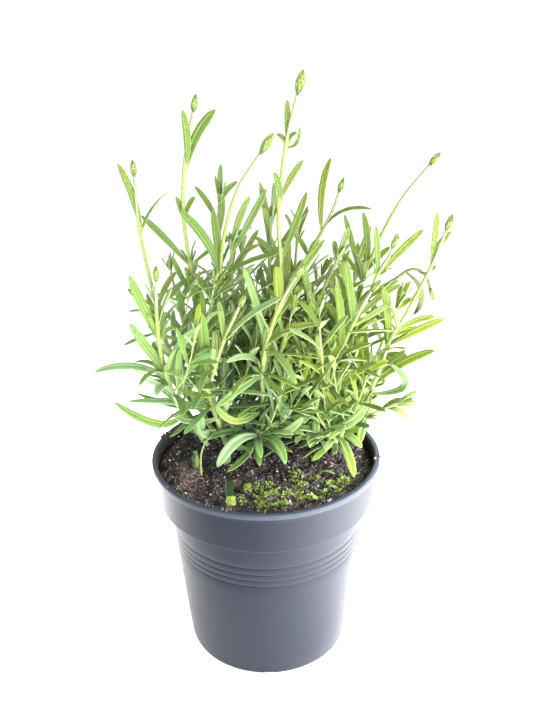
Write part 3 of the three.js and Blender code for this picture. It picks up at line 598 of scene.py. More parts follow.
def grown_wishes(plan: ShootPlan, index: int) -> list[tuple[float | None, ...]]:
    """The rows of the pairs that a shoot grows by rule, each a quarter turn past the last.

    Args:
        plan: The shoot's plan.
        index: The shoot's place in the plant.

    Returns:
        Rows as in a plan, with no facing, because such a leaf faces its stem.
    """
    dice = Dice(GROWTH.seed + index)
    wishes: list[tuple[float | None, ...]] = []
    if plan.grown is None:
        return wishes
    first, last, spacing = plan.grown
    turn = 180 * dice.roll()
    place = first
    while place <= last:
        share = (place - first) / max(last - first, 1)
        for side in (0, 180):
            rise = GROWTH.low_rise + (GROWTH.high_rise - GROWTH.low_rise) * share
            shrink = 1 + (GROWTH.tip_share - 1) * share ** 2
            wish = (
                place + dice.spread(GROWTH.place_spread),
                turn + side + dice.spread(GROWTH.turn_spread),
                rise + dice.spread(GROWTH.rise_spread),
                GROWTH.length * shrink * (1 + dice.spread(GROWTH.length_spread)),
                GROWTH.arch + dice.spread(GROWTH.arch),
                None,
            )
            taken = any(
                abs(leaf[0] - wish[0]) < GROWTH.pair_reach
                and math.cos(math.radians(leaf[1] - wish[1]))
                > math.cos(math.radians(GROWTH.same_side))
                for leaf in plan.leaves)
            if not taken:
                wishes.append(wish)
        turn += GROWTH.quarter_turn
        place += spacing
    return wishes


# ---- meshes


class MeshDraft:
    """Points, triangles and point marks of a piece while it is being made, in millimetres."""

    MARKS = ("along", "across", "under", "tone", "age")

    def __init__(self) -> None:
        """Starts with nothing."""
        self.points: list[Array] = []
        self.faces: list[Array] = []
        self.finishes: list[Array] = []
        self.marks: dict[str, list[Array]] = {name: [] for name in self.MARKS}
        self.count = 0

    def add(self, points: Array, faces: Array, finish: int = 0, **marks: Array | float) -> None:
        """Adds one body.

        Args:
            points: Its points, (n, 3).
            faces: Its triangles, (m, 3), counted from its own first point.
            finish: Number of its material.
            **marks: Values of the point marks; a mark that isn't given is 0.
        """
        self.points.append(points)
        self.faces.append(faces + self.count)
        self.finishes.append(np.full(len(faces), finish))
        for name in self.MARKS:
            value = np.broadcast_to(np.asarray(marks.get(name, 0.0), dtype=float), len(points))
            self.marks[name].append(value)
        self.count += len(points)

    def add_sleeve(self, rings: Array, finish: int = 0, **marks: Array | float) -> None:
        """Adds a closed skin over rings of points.

        Args:
            rings: (rows, sides, 3), each ring turning right-handed about the way it runs.
            finish: Number of its material.
            **marks: Values of the point marks, as numbers or over rows and sides.
        """
        over = {name: np.broadcast_to(value, rings.shape[:2]) for name, value in marks.items()}
        self.add(*sleeve(rings), finish, **{
            name: np.concatenate([values.reshape(-1), values[[0, -1], 0]])
            for name, values in over.items()})

    def to_object(self, name: str, materials: Sequence[Material], crease: float = 180) -> Object:
        """Makes the piece.

        Args:
            name: The object's name.
            materials: Its materials in the order of their numbers.
            crease: Edges that bend by more than this many degrees stay sharp.

        Returns:
            The object, in metres.
        """
        mesh = bpy.data.meshes.new(name)
        mesh.from_pydata(
            np.concatenate(self.points) * MM, [], np.concatenate(self.faces), shade_flat=False)
        mesh.polygons.foreach_set("material_index", np.concatenate(self.finishes))
        for mark, values in self.marks.items():
            layer = mesh.attributes.new(mark, "FLOAT", "POINT")
            layer.data.foreach_set("value", np.concatenate(values).astype(np.float32))
        for material in materials:
            mesh.materials.append(material)
        if crease < 180:
            mesh.set_sharp_from_angle(angle=math.radians(crease))
        made = bpy.data.objects.new(name, mesh)
        bpy.context.scene.collection.objects.link(made)
        return made


def settle_piece(made: Object, slot: Slot, *nodes: str) -> None:
    """Puts a finished piece on the plant's one body and reports it.

    Args:
        made: The piece.
        slot: The piece's material slot in the part's record; not used.
        *nodes: The solids that it stands for.
    """
    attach(made, "root")
    if nodes:
        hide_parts(*nodes)
    log.info("%s: %d triangles, for %s",
             made.name, len(made.data.polygons), ", ".join(nodes) or "no solid")


def sleeve(rings: Array) -> tuple[Array, Array]:
    """Closed skin over rings of points, with a capping point at each end.

    Args:
        rings: (rows, sides, 3), each ring turning right-handed about the way it runs.

    Returns:
        Points and triangles.
    """
    rows, sides = rings.shape[:2]
    caps = rings[[0, -1]].mean(axis=1)
    row, side = np.meshgrid(np.arange(rows - 1), np.arange(sides), indexing="ij")
    a = row * sides + side
    b = row * sides + (side + 1) % sides
    skin = np.concatenate([
        np.stack([a, b, b + sides], -1).reshape(-1, 3),
        np.stack([a, b + sides, a + sides], -1).reshape(-1, 3)])
    around = np.arange(sides)
    after = (around + 1) % sides
    first = np.full(sides, rows * sides)
    last = (rows - 1) * sides
    ends = np.concatenate([
        np.stack([after, around, first], -1),
        np.stack([last + around, last + after, first + 1], -1)])
    return np.concatenate([rings.reshape(-1, 3), caps]), np.concatenate([skin, ends])


def tube_rings(middle: Array, radii: Array, sides: int) -> Array:
    """Rings of a tube along points.

    Args:
        middle: Points of its middle, (n, 3).
        radii: Its radius at each, (n,), or at each and round it, (n, sides).
        sides: Sides round it.

    Returns:
        The rings, (n, sides, 3).
    """
    ways = unit(np.gradient(middle, axis=0))
    side, other = ways_round(ways, BACK if abs(ways[0, 1]) < 0.9 else ACROSS)
    out = outward(side[:, None], other[:, None], round_angles(sides))
    return middle[:, None] + radii.reshape(len(radii), -1, 1) * out


def two_faced(outer: Array, inner: Array) -> Array:
    """Rows that run over a blade's outer face and back under its inner one."""
    return np.concatenate([outer, inner[:, ::-1][:, 1:-1]], axis=1)


@dataclass(frozen=True)
class BladeForm:
    """How a blade's section and course differ from a plain strip."""

    thickness: float = 0.42
    crown: float = 0.1
    fold: float = 0.16
    groove: float = 0.13
    groove_width: float = 0.11
    roll: float = 0.16
    roll_start: float = 0.72
    rib: float = 0.2
    rib_width: float = 0.16
    rib_fade: float = 0.75
    twist: float = 0.0
    curl: float = 0.0
    bow: float = 0.0
    ripple: float = 0.0
    ripple_start: float = 0.0

    @classmethod
    def natural(cls, rng: np.random.Generator, age: float) -> "BladeForm":
        """A form with a living leaf's chance differences: an old leaf is bent further."""
        return cls(
            fold=rng.uniform(0.04, 0.34),
            roll=rng.uniform(0.1, 0.24),
            twist=rng.normal(0, 0.22 + 0.25 * age),
            curl=rng.normal(0, 0.03 + 0.06 * age),
            bow=rng.normal(0, 0.08 + 0.1 * age),
            ripple=rng.uniform(0.0, 0.07),
            ripple_start=rng.uniform(0, 6),
        )


def add_leaf(draft: MeshDraft, leaf: Leaf, detail: LeafDetail, form: BladeForm,
             tone: float, age: float) -> None:
    """Adds a leaf's blade, grooved above, ribbed below and with its margins rolled under.

    Args:
        draft: The piece that it joins.
        leaf: Its midrib and width.
        detail: How finely it is made.
        form: Its section and course.
        tone: Chance shade, from 0 to 1.
        age: From 0 for a young leaf to 1 for an old one.
    """
    rows, columns = detail.value
    shares = 1 - (1 - np.linspace(0, 1, rows)) ** 1.15
    points, _, up, side = leaf.spine(shares)
    turn = form.twist * shares ** 1.5
    up, side = outward(up, side, turn), outward(side, -up, turn)
    points = points + up * (form.curl * leaf.length * shares ** 3)[:, None]
    points = points + side * (form.bow * leaf.length * shares * (1 - shares))[:, None]
    half = leaf.breadth(shares)[:, None] / 2
    over = np.sin(np.linspace(-np.pi / 2, np.pi / 2, columns))
    across = np.concatenate([over, over[::-1][1:-1] * 0.97])
    is_under = np.concatenate([np.zeros(columns), np.ones(columns - 2)])
    reach = np.abs(across)
    groove = form.groove * np.exp(-(across / form.groove_width) ** 2)
    roll = form.roll * smooth_step(form.roll_start, 1, reach)
    section = form.crown * (1 - across ** 2) - groove - roll + form.fold * reach
    waves = form.ripple * np.sin(shares * leaf.length * 0.9 + form.ripple_start)
    thickness = np.minimum(form.thickness, 0.5 * half + 0.05)
    rib = form.rib * np.exp(-(across / form.rib_width) ** 2)
    rib = rib * (1 - form.rib_fade * shares[:, None])
    height = (half * (section + waves[:, None] * across * reach)
              - is_under * (thickness + half * rib))
    rings = (points[:, None] + side[:, None] * (half * across)[..., None]
             + up[:, None] * height[..., None])
    draft.add_sleeve(rings, along=shares[:, None], across=across, under=is_under,
                     tone=tone, age=age)


class Crumb:
    """A small angular lump that is copied, bent and turned for crumbs, grit and bark."""

    def __init__(self, roundness: int) -> None:
        """Makes the lump that all are copied from.

        Args:
            roundness: How often its faces are divided.
        """
        bead = bpy.data.meshes.new("crumb_form")
        form = bmesh.new()
        bmesh.ops.create_icosphere(form, subdivisions=roundness, radius=1.0)
        form.to_mesh(bead)
        form.free()
        self.points = np.array([v.co for v in bead.vertices])
        self.faces = np.array([tuple(p.vertices) for p in bead.polygons])
        bpy.data.meshes.remove(bead)

    def scatter(self, draft: MeshDraft, places: Array, sizes: Array, tones: Array,
                rng: np.random.Generator, rough: float = 0.28) -> None:
        """Adds a copy at every place.

        Args:
            draft: The piece that they join.
            places: Their middles, (n, 3).
            sizes: Their half sizes along three ways, (n, 3).
            tones: Their shades.
            rng: Source of their chance forms.
            rough: How far their corners move, as a share of their size.
        """
        count = len(places)
        turns = rng.normal(size=(count, 4))
        w, x, y, z = (turns / np.linalg.norm(turns, axis=1, keepdims=True)).T
        matrix = np.stack([
            1 - 2 * (y * y + z * z), 2 * (x * y - z * w), 2 * (x * z + y * w),
            2 * (x * y + z * w), 1 - 2 * (x * x + z * z), 2 * (y * z - x * w),
            2 * (x * z - y * w), 2 * (y * z + x * w), 1 - 2 * (x * x + y * y),
        ], -1).reshape(count, 3, 3)
        knobs = 1 + rng.uniform(-rough, rough, (count, len(self.points), 1))
        forms = self.points[None] * knobs * sizes[:, None]
        points = np.einsum("nij,nkj->nki", matrix, forms) + places[:, None]
        starts = np.arange(count)[:, None, None] * len(self.points)
        faces = (self.faces[None] + starts).reshape(-1, 3)
        draft.add(points.reshape(-1, 3), faces, tone=np.repeat(tones, len(self.points)))


# ---- finishes


def colour(code: str) -> tuple[float, float, float, float]:
    """A linear colour from a six-digit display colour."""
    shares = [int(code[i:i + 2], 16) / 255 for i in (0, 2, 4)]
    return (*(c / 12.92 if c <= 0.04045 else ((c + 0.055) / 1.055) ** 2.4 for c in shares), 1.0)


class Wire:
    """A value in a material's graph; arithmetic on it adds the nodes that it needs."""

    def __init__(self, graph: "Graph", socket: NodeSocket) -> None:
        """Wraps an output socket."""
        self.graph = graph
        self.socket = socket

    def math(self, operation: str, *values: Any, clamp: bool = False) -> "Wire":
        """A Math node on values."""
        settings = {"operation": operation, "use_clamp": clamp}
        return self.graph.wire("ShaderNodeMath", settings, dict(enumerate(values)))

    def __add__(self, other: Any) -> "Wire":
        """The sum."""
        return self.math("ADD", self, other)

    __radd__ = __add__

    def __sub__(self, other: Any) -> "Wire":
        """The difference."""
        return self.math("SUBTRACT", self, other)

    def __rsub__(self, other: Any) -> "Wire":
        """The difference from a number."""
        return self.math("SUBTRACT", other, self)

    def __mul__(self, other: Any) -> "Wire":
        """The product."""
        return self.math("MULTIPLY", self, other)

    __rmul__ = __mul__

    def __pow__(self, other: Any) -> "Wire":
        """The power."""
        return self.math("POWER", self, other)

    def __abs__(self) -> "Wire":
        """The size without its sign."""
        return self.math("ABSOLUTE", self)

    def clamped(self) -> "Wire":
        """The value held between 0 and 1."""
        return self.math("ADD", self, 0.0, clamp=True)

    def step(self, low: float, high: float) -> "Wire":
        """The value eased from 0 at low to 1 at high."""
        return self.graph.wire(
            "ShaderNodeMapRange", {"interpolation_type": "SMOOTHSTEP"},
            {"Value": self, "From Min": low, "From Max": high})

    def ramp(self, *stops: tuple[float, str]) -> "Wire":
        """A colour read from stops by this value."""
        return self.graph.wire("ShaderNodeValToRGB", {"stops": stops}, {"Fac": self})


class Graph:
    """The node graph of one material."""

    def __init__(self, name: str) -> None:
        """Starts an empty material.

        Args:
            name: Its name.
        """
        self.material = bpy.data.materials.new(name)
        self.material.use_nodes = True
        self.tree = self.material.node_tree
        self.tree.nodes.clear()

    def node(self, kind: str, settings: dict[str, Any] | None = None,
             inputs: dict[Any, Any] | None = None) -> Node:
        """Adds a node.

        Args:
            kind: Its type.
            settings: Its settings, set first; stops fill a ramp.
            inputs: Values or wires of its sockets, by name or number.

        Returns:
            The node.
        """
        made = self.tree.nodes.new(kind)
        for name, value in (settings or {}).items():
            if name == "stops":
                self.fill_ramp(made.color_ramp, value)
            else:
                setattr(made, name, value)
        for key, value in (inputs or {}).items():
            if isinstance(value, Wire):
                self.tree.links.new(value.socket, made.inputs[key])
            else:
                made.inputs[key].default_value = value
        return made

    def wire(self, kind: str, settings: dict[str, Any] | None = None,
             inputs: dict[Any, Any] | None = None, output: int | str = 0) -> Wire:
        """One output of a new node."""
        return Wire(self, self.node(kind, settings, inputs).outputs[output])

    @staticmethod
    def fill_ramp(ramp: ColorRamp, stops: Sequence[tuple[float, str]]) -> None:
        """Gives a ramp its stops.

        Args:
            ramp: The ramp.
            stops: Their places and colours, in order.
        """
        while len(ramp.elements) < len(stops):
            ramp.elements.new(0.5)
        for element, (place, code) in zip(ramp.elements, stops):
            element.position = place
            element.color = colour(code)

    def mark(self, name: str) -> Wire:
        """A point mark of the mesh."""
        return self.wire("ShaderNodeAttribute", {"attribute_name": name}, output="Fac")

    def place(self) -> Wire:
        """The point's place in the part's frame, in metres."""
        return self.wire("ShaderNodeTexCoord", output="Object")

    def axis(self, name: str) -> Wire:
        """One coordinate of the point's place, in millimetres."""
        metres = self.wire("ShaderNodeSeparateXYZ", inputs={0: self.place()}, output=name)
        return metres * (1 / MM)

    def stretched(self, scale: Triple) -> Wire:
        """The point's place with each coordinate scaled."""
        return self.wire(
            "ShaderNodeMapping", inputs={"Vector": self.place(), "Scale": scale})

    def cloud(self, size: float, detail: float = 3.0, rough: float = 0.5,
              where: Wire | None = None) -> Wire:
        """Noise whose features are a size in millimetres."""
        return self.wire("ShaderNodeTexNoise", inputs={
            "Vector": where or self.place(), "Scale": 1 / (size * MM), "Detail": detail,
            "Roughness": rough}, output="Fac")

    def cells(self, size: float, output: str = "Distance") -> Wire:
        """Cells whose width is a size in millimetres."""
        return self.wire("ShaderNodeTexVoronoi", inputs={
            "Vector": self.place(), "Scale": 1 / (size * MM)}, output=output)

    def blend(self, share: Wire | float, first: Wire | str, second: Wire | str) -> Wire:
        """A colour between two by a share."""
        return self.wire("ShaderNodeMix", {"data_type": "RGBA"}, {
            0: share,
            6: first if isinstance(first, Wire) else colour(first),
            7: second if isinstance(second, Wire) else colour(second)}, output=2)

    def layers(self, body: Wire | str, *coats: tuple[Wire | float, str]) -> Wire:
        """A colour under coats.

        Args:
            body: The colour underneath.
            *coats: The share and the colour of each coat, from the lowest up.

        Returns:
            The colour that shows.
        """
        for share, shade in coats:
            body = self.blend(share, body, shade)
        return body

    def bump(self, height: Wire, depth: float, strength: float = 1.0) -> Wire:
        """A surface roughened by heights, with a depth in millimetres."""
        return self.wire("ShaderNodeBump", inputs={
            "Height": height, "Distance": depth * MM, "Strength": strength})

    def finish(self, **inputs: Any) -> Material:
        """Ends the graph in a surface.

        Args:
            **inputs: The surface's sockets by name, with _ for a space.

        Returns:
            The material.
        """
        surface = self.wire("ShaderNodeBsdfPrincipled", inputs={
            name.replace("_", " "): value for name, value in inputs.items()})
        self.node("ShaderNodeOutputMaterial", inputs={"Surface": surface})
        return self.material


@dataclass(frozen=True)
class LeafFinish:
    """Downy green leaf, greyer underneath; above, its midrib groove is painted dark as shade
    between pale bands painted as highlight.

    Its green follows its age and chance, with painted shade high on the plant, low down on the
    lamp side at the right and low down near the plant's middle. A band is the pair of
    distances, in millimetres, between which a shade comes or goes.
    """

    name: str = "leaf"
    fresh: str = "869412"
    full: str = "60872F"
    old: str = "588A4C"
    downy: str = "9DB38C"
    beneath: str = "869F70"
    pale: str = "CADCA2"
    # Dark green of the midrib groove: painted shade in the crease.
    groove: str = "2B4F20"
    # Painted shade for leaves high on the plant.
    high: str = "3A4E0A"
    # Painted shade for low leaves at the right, the lamp side.
    lamp_side_shade: str = "344A14"
    # Painted shade for low leaves near the plant's middle, deep in the bush.
    inner: str = "1B3A22"
    top_shade_band: Pair = (185, 255)
    lamp_side_shade_band: Pair = (38, 76)
    lamp_side_shade_top: Pair = (150, 195)
    inner_depth: float = 18
    inner_shade_band: Pair = (12, 36)
    inner_shade_top: Pair = (170, 215)

    def make(self) -> Material:
        """Makes the material.

        Returns:
            The material.
        """
        g = Graph(self.name)
        along, across, under, tone, age = map(g.mark, MeshDraft.MARKS)
        patches = g.cloud(4.5, 4.0)
        height, reach, above = g.axis("Z"), abs(across), 1 - under
        mild = (0.4 + tone * 1.5).clamped()
        grey = tone.math("FRACT", tone * 7.3).step(0.5, 0.9)
        # Pale bands beside the midrib groove, painted as highlight.
        beside = reach.step(0.08, 0.22) * (1 - reach.step(0.3, 0.6)) * above
        # The midrib groove, painted darker as shade.
        rib = (1 - reach.step(0.03, 0.13)) * above
        x, y = g.axis("X"), g.axis("Y") - self.inner_depth
        # Painted shade on low leaves on the lamp side at the right.
        lamp_side_shade = x.step(*self.lamp_side_shade_band) * (1 - height.step(*self.lamp_side_shade_top))
        # Painted shade near the plant's middle, where the bush is deepest.
        inner = 1 - ((x * x + y * y) ** 0.5).step(*self.inner_shade_band)
        body = g.layers(
            self.fresh,
            ((tone * 0.9 + patches * 0.5 - 0.2).clamped(), self.full),
            ((age * 1.1 - 0.15 + (patches - 0.5) * 0.9).clamped() * 0.9, self.old),
            # Painted shade high on the plant.
            (height.step(*self.top_shade_band) * 0.55, self.high),
            (grey * (0.15 + 0.45 * age) * mild, self.downy),
            # Painted highlight on the bands beside the groove, then painted shade in the groove.
            (beside * (1 - along * 0.6) * 0.2 * mild, self.pale),
            (rib * (1 - along * 0.6) * 0.6, self.groove),
            (under * 0.6 * mild, self.beneath),
            (under * (1 - reach.step(0.04, 0.2)) * 0.45, self.pale),
            # Pale downy margins, partly a painted highlight.
            (reach.step(0.86, 0.98) * 0.4 * mild, self.pale),
            ((1 - along.step(0.0, 0.16)) * 0.4, self.pale),
            (g.cloud(0.28, 2.0).step(0.56, 0.72) * 0.16, self.pale),
            # Painted shade on the lamp side, then near the plant's middle.
            (lamp_side_shade * 0.6, self.lamp_side_shade),
            (inner * (1 - height.step(*self.inner_shade_top)) * 0.5, self.inner))
        ribs = (along * 60 + reach * 9).math("SINE", along * 60 + reach * 9)
        veins = g.cloud(0.9, 3.0) + g.cloud(0.25, 2.0) * 0.4 + ribs * 0.12
        return g.finish(
            Base_Color=body,
            Roughness=0.5 + patches * 0.2,
            Normal=g.bump(veins, 0.12, 0.7),
            Specular_IOR_Level=0.3,
            Sheen_Weight=0.05,
            Subsurface_Weight=0.09,
            Subsurface_Scale=0.001,
            Subsurface_Radius=(0.6, 1.0, 0.25),
        )


@dataclass(frozen=True)
class StemFinish:
    """Pale square stem, woody at its foot and greyer near its tip, with pale streaks low down and
    a painted highlight along its corners.
    """

    name: str = "stem"
    foot: str = "8A8E62"
    green: str = "8A9E4A"
    top: str = "8F9474"
    node: str = "93A646"
    # Pale colour of the streaks low down and of the painted highlight along the stem's corners.
    edge: str = "DCE6C4"

    def make(self) -> Material:
        """Makes the material.

        Returns:
            The material.
        """
        g = Graph(self.name)
        along, across, under = map(g.mark, ("along", "across", "under"))
        streaks = g.cloud(0.7, 3.0, where=g.stretched((1.0, 1.0, 0.12)))
        body = g.layers(
            self.green,
            (along.step(0.76, 0.94), self.top),
            ((1 - (along + (streaks - 0.5) * 0.25).step(0.02, 0.22)) * 0.85, self.foot),
            (under * 0.7, self.node),
            # Painted highlight along the stem's corners.
            (across.step(0.5, 1.0) * (0.55 - along * 0.45), self.edge),
            (streaks.step(0.48, 0.68) * (1 - along.step(0.5, 0.8)) * 0.6, self.edge))
        return g.finish(
            Base_Color=body,
            Roughness=0.5 + streaks * 0.25,
            Normal=g.bump(streaks + g.cloud(0.2, 2.0) * 0.5, 0.1, 0.8),
            Specular_IOR_Level=0.4,
            Sheen_Weight=0.1,
        )


@dataclass(frozen=True)
class BudFinish:
    """Yellow-green downy scales with shaded bases and pale tips."""

    name: str = "bud_scales"
    base: str = "4A5E26"
    body: str = "708537"
    tip: str = "A5B374"

    def make(self) -> Material:
        """Makes the material.

        Returns:
            The material.
        """
        g = Graph(self.name)
        along, across, tone = map(g.mark, ("along", "across", "tone"))
        shade = g.cloud(0.9, 3.0)
        body = g.layers(
            self.base,
            ((along + (shade - 0.5) * 0.4).step(0.05, 0.45), self.body),
            ((along + tone * 0.2).step(0.62, 1.1) * 0.6, self.tip),
            (abs(across).step(0.55, 0.95) * 0.7, self.base),
            (g.cloud(0.18, 2.0).step(0.58, 0.7) * 0.3, self.tip))
        return g.finish(
            Base_Color=body,
            Roughness=0.62 + shade * 0.12,
            Normal=g.bump(g.cloud(0.2, 3.0), 0.1, 0.7),
            Specular_IOR_Level=0.3,
            Sheen_Weight=0.2,
        )


@dataclass(frozen=True)
class WitheredFinish:
    """Withered grey-green tissue, brown towards its tips."""

    name: str = "withered_tissue"
    dark: str = "3E2F22"
    body: str = "6F7A50"
    pale: str = "A3AC84"

    def make(self) -> Material:
        """Makes the material.

        Returns:
            The material.
        """
        g = Graph(self.name)
        along, tone = map(g.mark, ("along", "tone"))
        streaks = g.cloud(0.8, 4.0, where=g.stretched((1.0, 1.0, 0.2)))
        body = g.layers(
            self.body,
            ((streaks * 0.7 + tone * 0.5).step(0.45, 0.85), self.pale),
            ((along + (streaks - 0.5) * 0.3).step(0.7, 0.95) * 0.9, self.dark))
        return g.finish(
            Base_Color=body,
            Roughness=0.75 + streaks * 0.15,
            Normal=g.bump(streaks + g.cloud(0.2, 3.0) * 0.5, 0.18),
            Specular_IOR_Level=0.25,
        )


@dataclass(frozen=True)
class PotFinish:
    """Satin slate-grey moulded plastic, lightly scuffed and dusty at the rim, with a painted
    highlight along its lip, and darker on its inner wall from soil and painted shade.

    A band is the pair of heights, in millimetres, between which a mark comes in.
    """

    name: str = "pot_plastic"
    body: str = "040A1B"
    cool: str = "091020"
    # Lighter slate of the painted highlight along the top of the lip.
    edge: str = "3C434E"
    scuff: str = "9AA0AA"
    # Colour of spilt soil near the rim, and on the inner wall of soil and painted shade together.
    dust_and_shade: str = "2F2724"
    lip_highlight_band: Pair = (116.8, 117.6)
    worn_band: Pair = (112, 118)
    spilt_band: Pair = (115, 118.6)
    inside_band: Pair = (97, 99)
    wall_middle: float = 61.1
    wall_slope: float = 0.06

    def make(self) -> Material:
        """Makes the material.

        Returns:
            The material.
        """
        g = Graph(self.name)
        broad, fine = g.cloud(38, 3.0), g.cloud(1.1, 3.0)
        lines = g.cloud(2.2, 4.0, 0.65, where=g.stretched((1.0, 1.0, 7.0))).step(0.66, 0.74)
        grains = g.cloud(0.9, 3.0, 0.6).step(0.6, 0.68)
        x, y, height = map(g.axis, "XYZ")
        worn = height.step(*self.worn_band) * 0.75 + 0.14
        wall = self.wall_middle + (height - POT.collar_foot_height) * self.wall_slope
        # The inner wall above the soil, darkened by soil and by painted shade.
        inside = (wall - (x * x + y * y) ** 0.5).step(-0.1, 0.2) * height.step(*self.inside_band)
        spilt = height.step(*self.spilt_band) * g.cloud(14, 2.0).step(0.5, 0.64)
        body = g.layers(
            self.body,
            (broad.step(0.35, 0.65) * 0.6, self.cool),
            ((fine - 0.5) * 0.35 + 0.1, self.cool),
            # Painted highlight along the top of the lip.
            (height.step(*self.lip_highlight_band) * 0.75, self.edge),
            ((lines * worn).clamped(), self.scuff),
            ((grains * spilt * 0.8).clamped(), self.dust_and_shade),
            # Soil and painted shade on the inner wall.
            (inside * (0.45 + 0.4 * g.cloud(3, 4.0).step(0.4, 0.6)), self.dust_and_shade))
        return g.finish(
            Base_Color=body,
            Roughness=(0.35 + (broad - 0.5) * 0.12 + lines * 0.1 + fine * 0.06
                       + (spilt * grains + inside) * 0.3).clamped(),
            Normal=g.bump(fine * 0.5 + g.cloud(0.3, 2.0) * 0.5, 0.05, 0.5),
            Specular_IOR_Level=0.23,
        )


@dataclass(frozen=True)
class SoilFinish:
    """Damp potting compost: near-black crumbs, brown fibre, and pale dots that are partly grit and
    partly painted glints.
    """

    name: str = "compost"
    wet: str = "0A0909"
    body: str = "302A2A"
    warm: str = "76665F"
    # Pale dots: grit, and painted glints on the damp compost.
    grit: str = "DCD2CF"

    def make(self) -> Material:
        """Makes the material.

        Returns:
            The material.
        """
        g = Graph(self.name)
        tone = g.mark("tone")
        coarse, fine = g.cloud(5.0, 5.0, 0.65), g.cloud(0.7, 4.0, 0.7)
        mixed = (coarse * 0.35 + fine * 1.3 - 0.33 + (tone - 0.5) * 0.7).clamped()
        body = mixed.ramp((0.36, self.wet), (0.52, self.body), (0.74, self.warm))
        # Pale dots, partly grit and partly painted glints.
        grit_and_glint_specks = 1 - g.cells(0.8).step(0.16, 0.3)
        body = g.blend(grit_and_glint_specks * g.cells(0.8, "Color").step(0.5, 0.8) * 0.8, body, self.grit)
        return g.finish(
            Base_Color=body,
            Roughness=0.5 + fine * 0.3,
            Normal=g.bump(coarse + fine, 1.1),
            Specular_IOR_Level=0.5,
        )


@dataclass(frozen=True)
class CrumbFinish:
    """Loose bits, from black compost through bark and fibre to pale grit, by their tone."""

    name: str = "crumbs"
    shades: tuple[tuple[float, str], ...] = (
        (0.0, "0C0B0B"), (0.3, "262021"), (0.54, "4A4041"), (0.7, "83716B"),
        (0.84, "BCA59E"), (1.0, "F4EEEC"))

    def make(self) -> Material:
        """Makes the material.

        Returns:
            The material.
        """
        g = Graph(self.name)
        fine = g.cloud(0.5, 3.0)
        body = (g.mark("tone") + (fine - 0.5) * 0.16).clamped().ramp(*self.shades)
        return g.finish(
            Base_Color=body,
            Roughness=0.62 + fine * 0.25,
            Normal=g.bump(fine, 0.25),
            Specular_IOR_Level=0.4,
        )


@dataclass(frozen=True)
class LobeFinish:
    """Glossy bright green liverwort and moss on the soil."""

    name: str = "liverwort"
    deep: str = "24381A"
    body: str = "A0BC4A"
    rim: str = "D6E096"

    def make(self) -> Material:
        """Makes the material.

        Returns:
            The material.
        """
        g = Graph(self.name)
        tone, across = map(g.mark, ("tone", "across"))
        shade = g.cloud(1.6, 3.0)
        body = g.layers(
            self.deep,
            ((tone * 0.8 + (shade - 0.5) * 0.8 + 0.1).clamped(), self.body),
            (abs(across).step(0.6, 1.0) * 0.5 * tone, self.rim))
        return g.finish(
            Base_Color=body,
            Roughness=0.34 + shade * 0.2,
            Normal=g.bump(g.cloud(0.5, 3.0), 0.2),
            Specular_IOR_Level=0.5,
            Subsurface_Weight=0.1,
            Subsurface_Scale=0.001,
        )


@dataclass(frozen=True)
class PaperFinish:
    """Plain pale floor."""

    name: str = "floor_paper"
    shade: str = "FEFEFE"
    grain: str = "F6F6F6"

    def make(self) -> Material:
        """Makes the material.

        Returns:
            The material.
        """
        g = Graph(self.name)
        grain = g.cloud(2.0, 2.0)
        return g.finish(
            Base_Color=g.blend(grain * 0.06, self.shade, self.grain),
            Roughness=0.8 + grain * 0.1,
            Specular_IOR_Level=0.2,
        )


# ---- pot


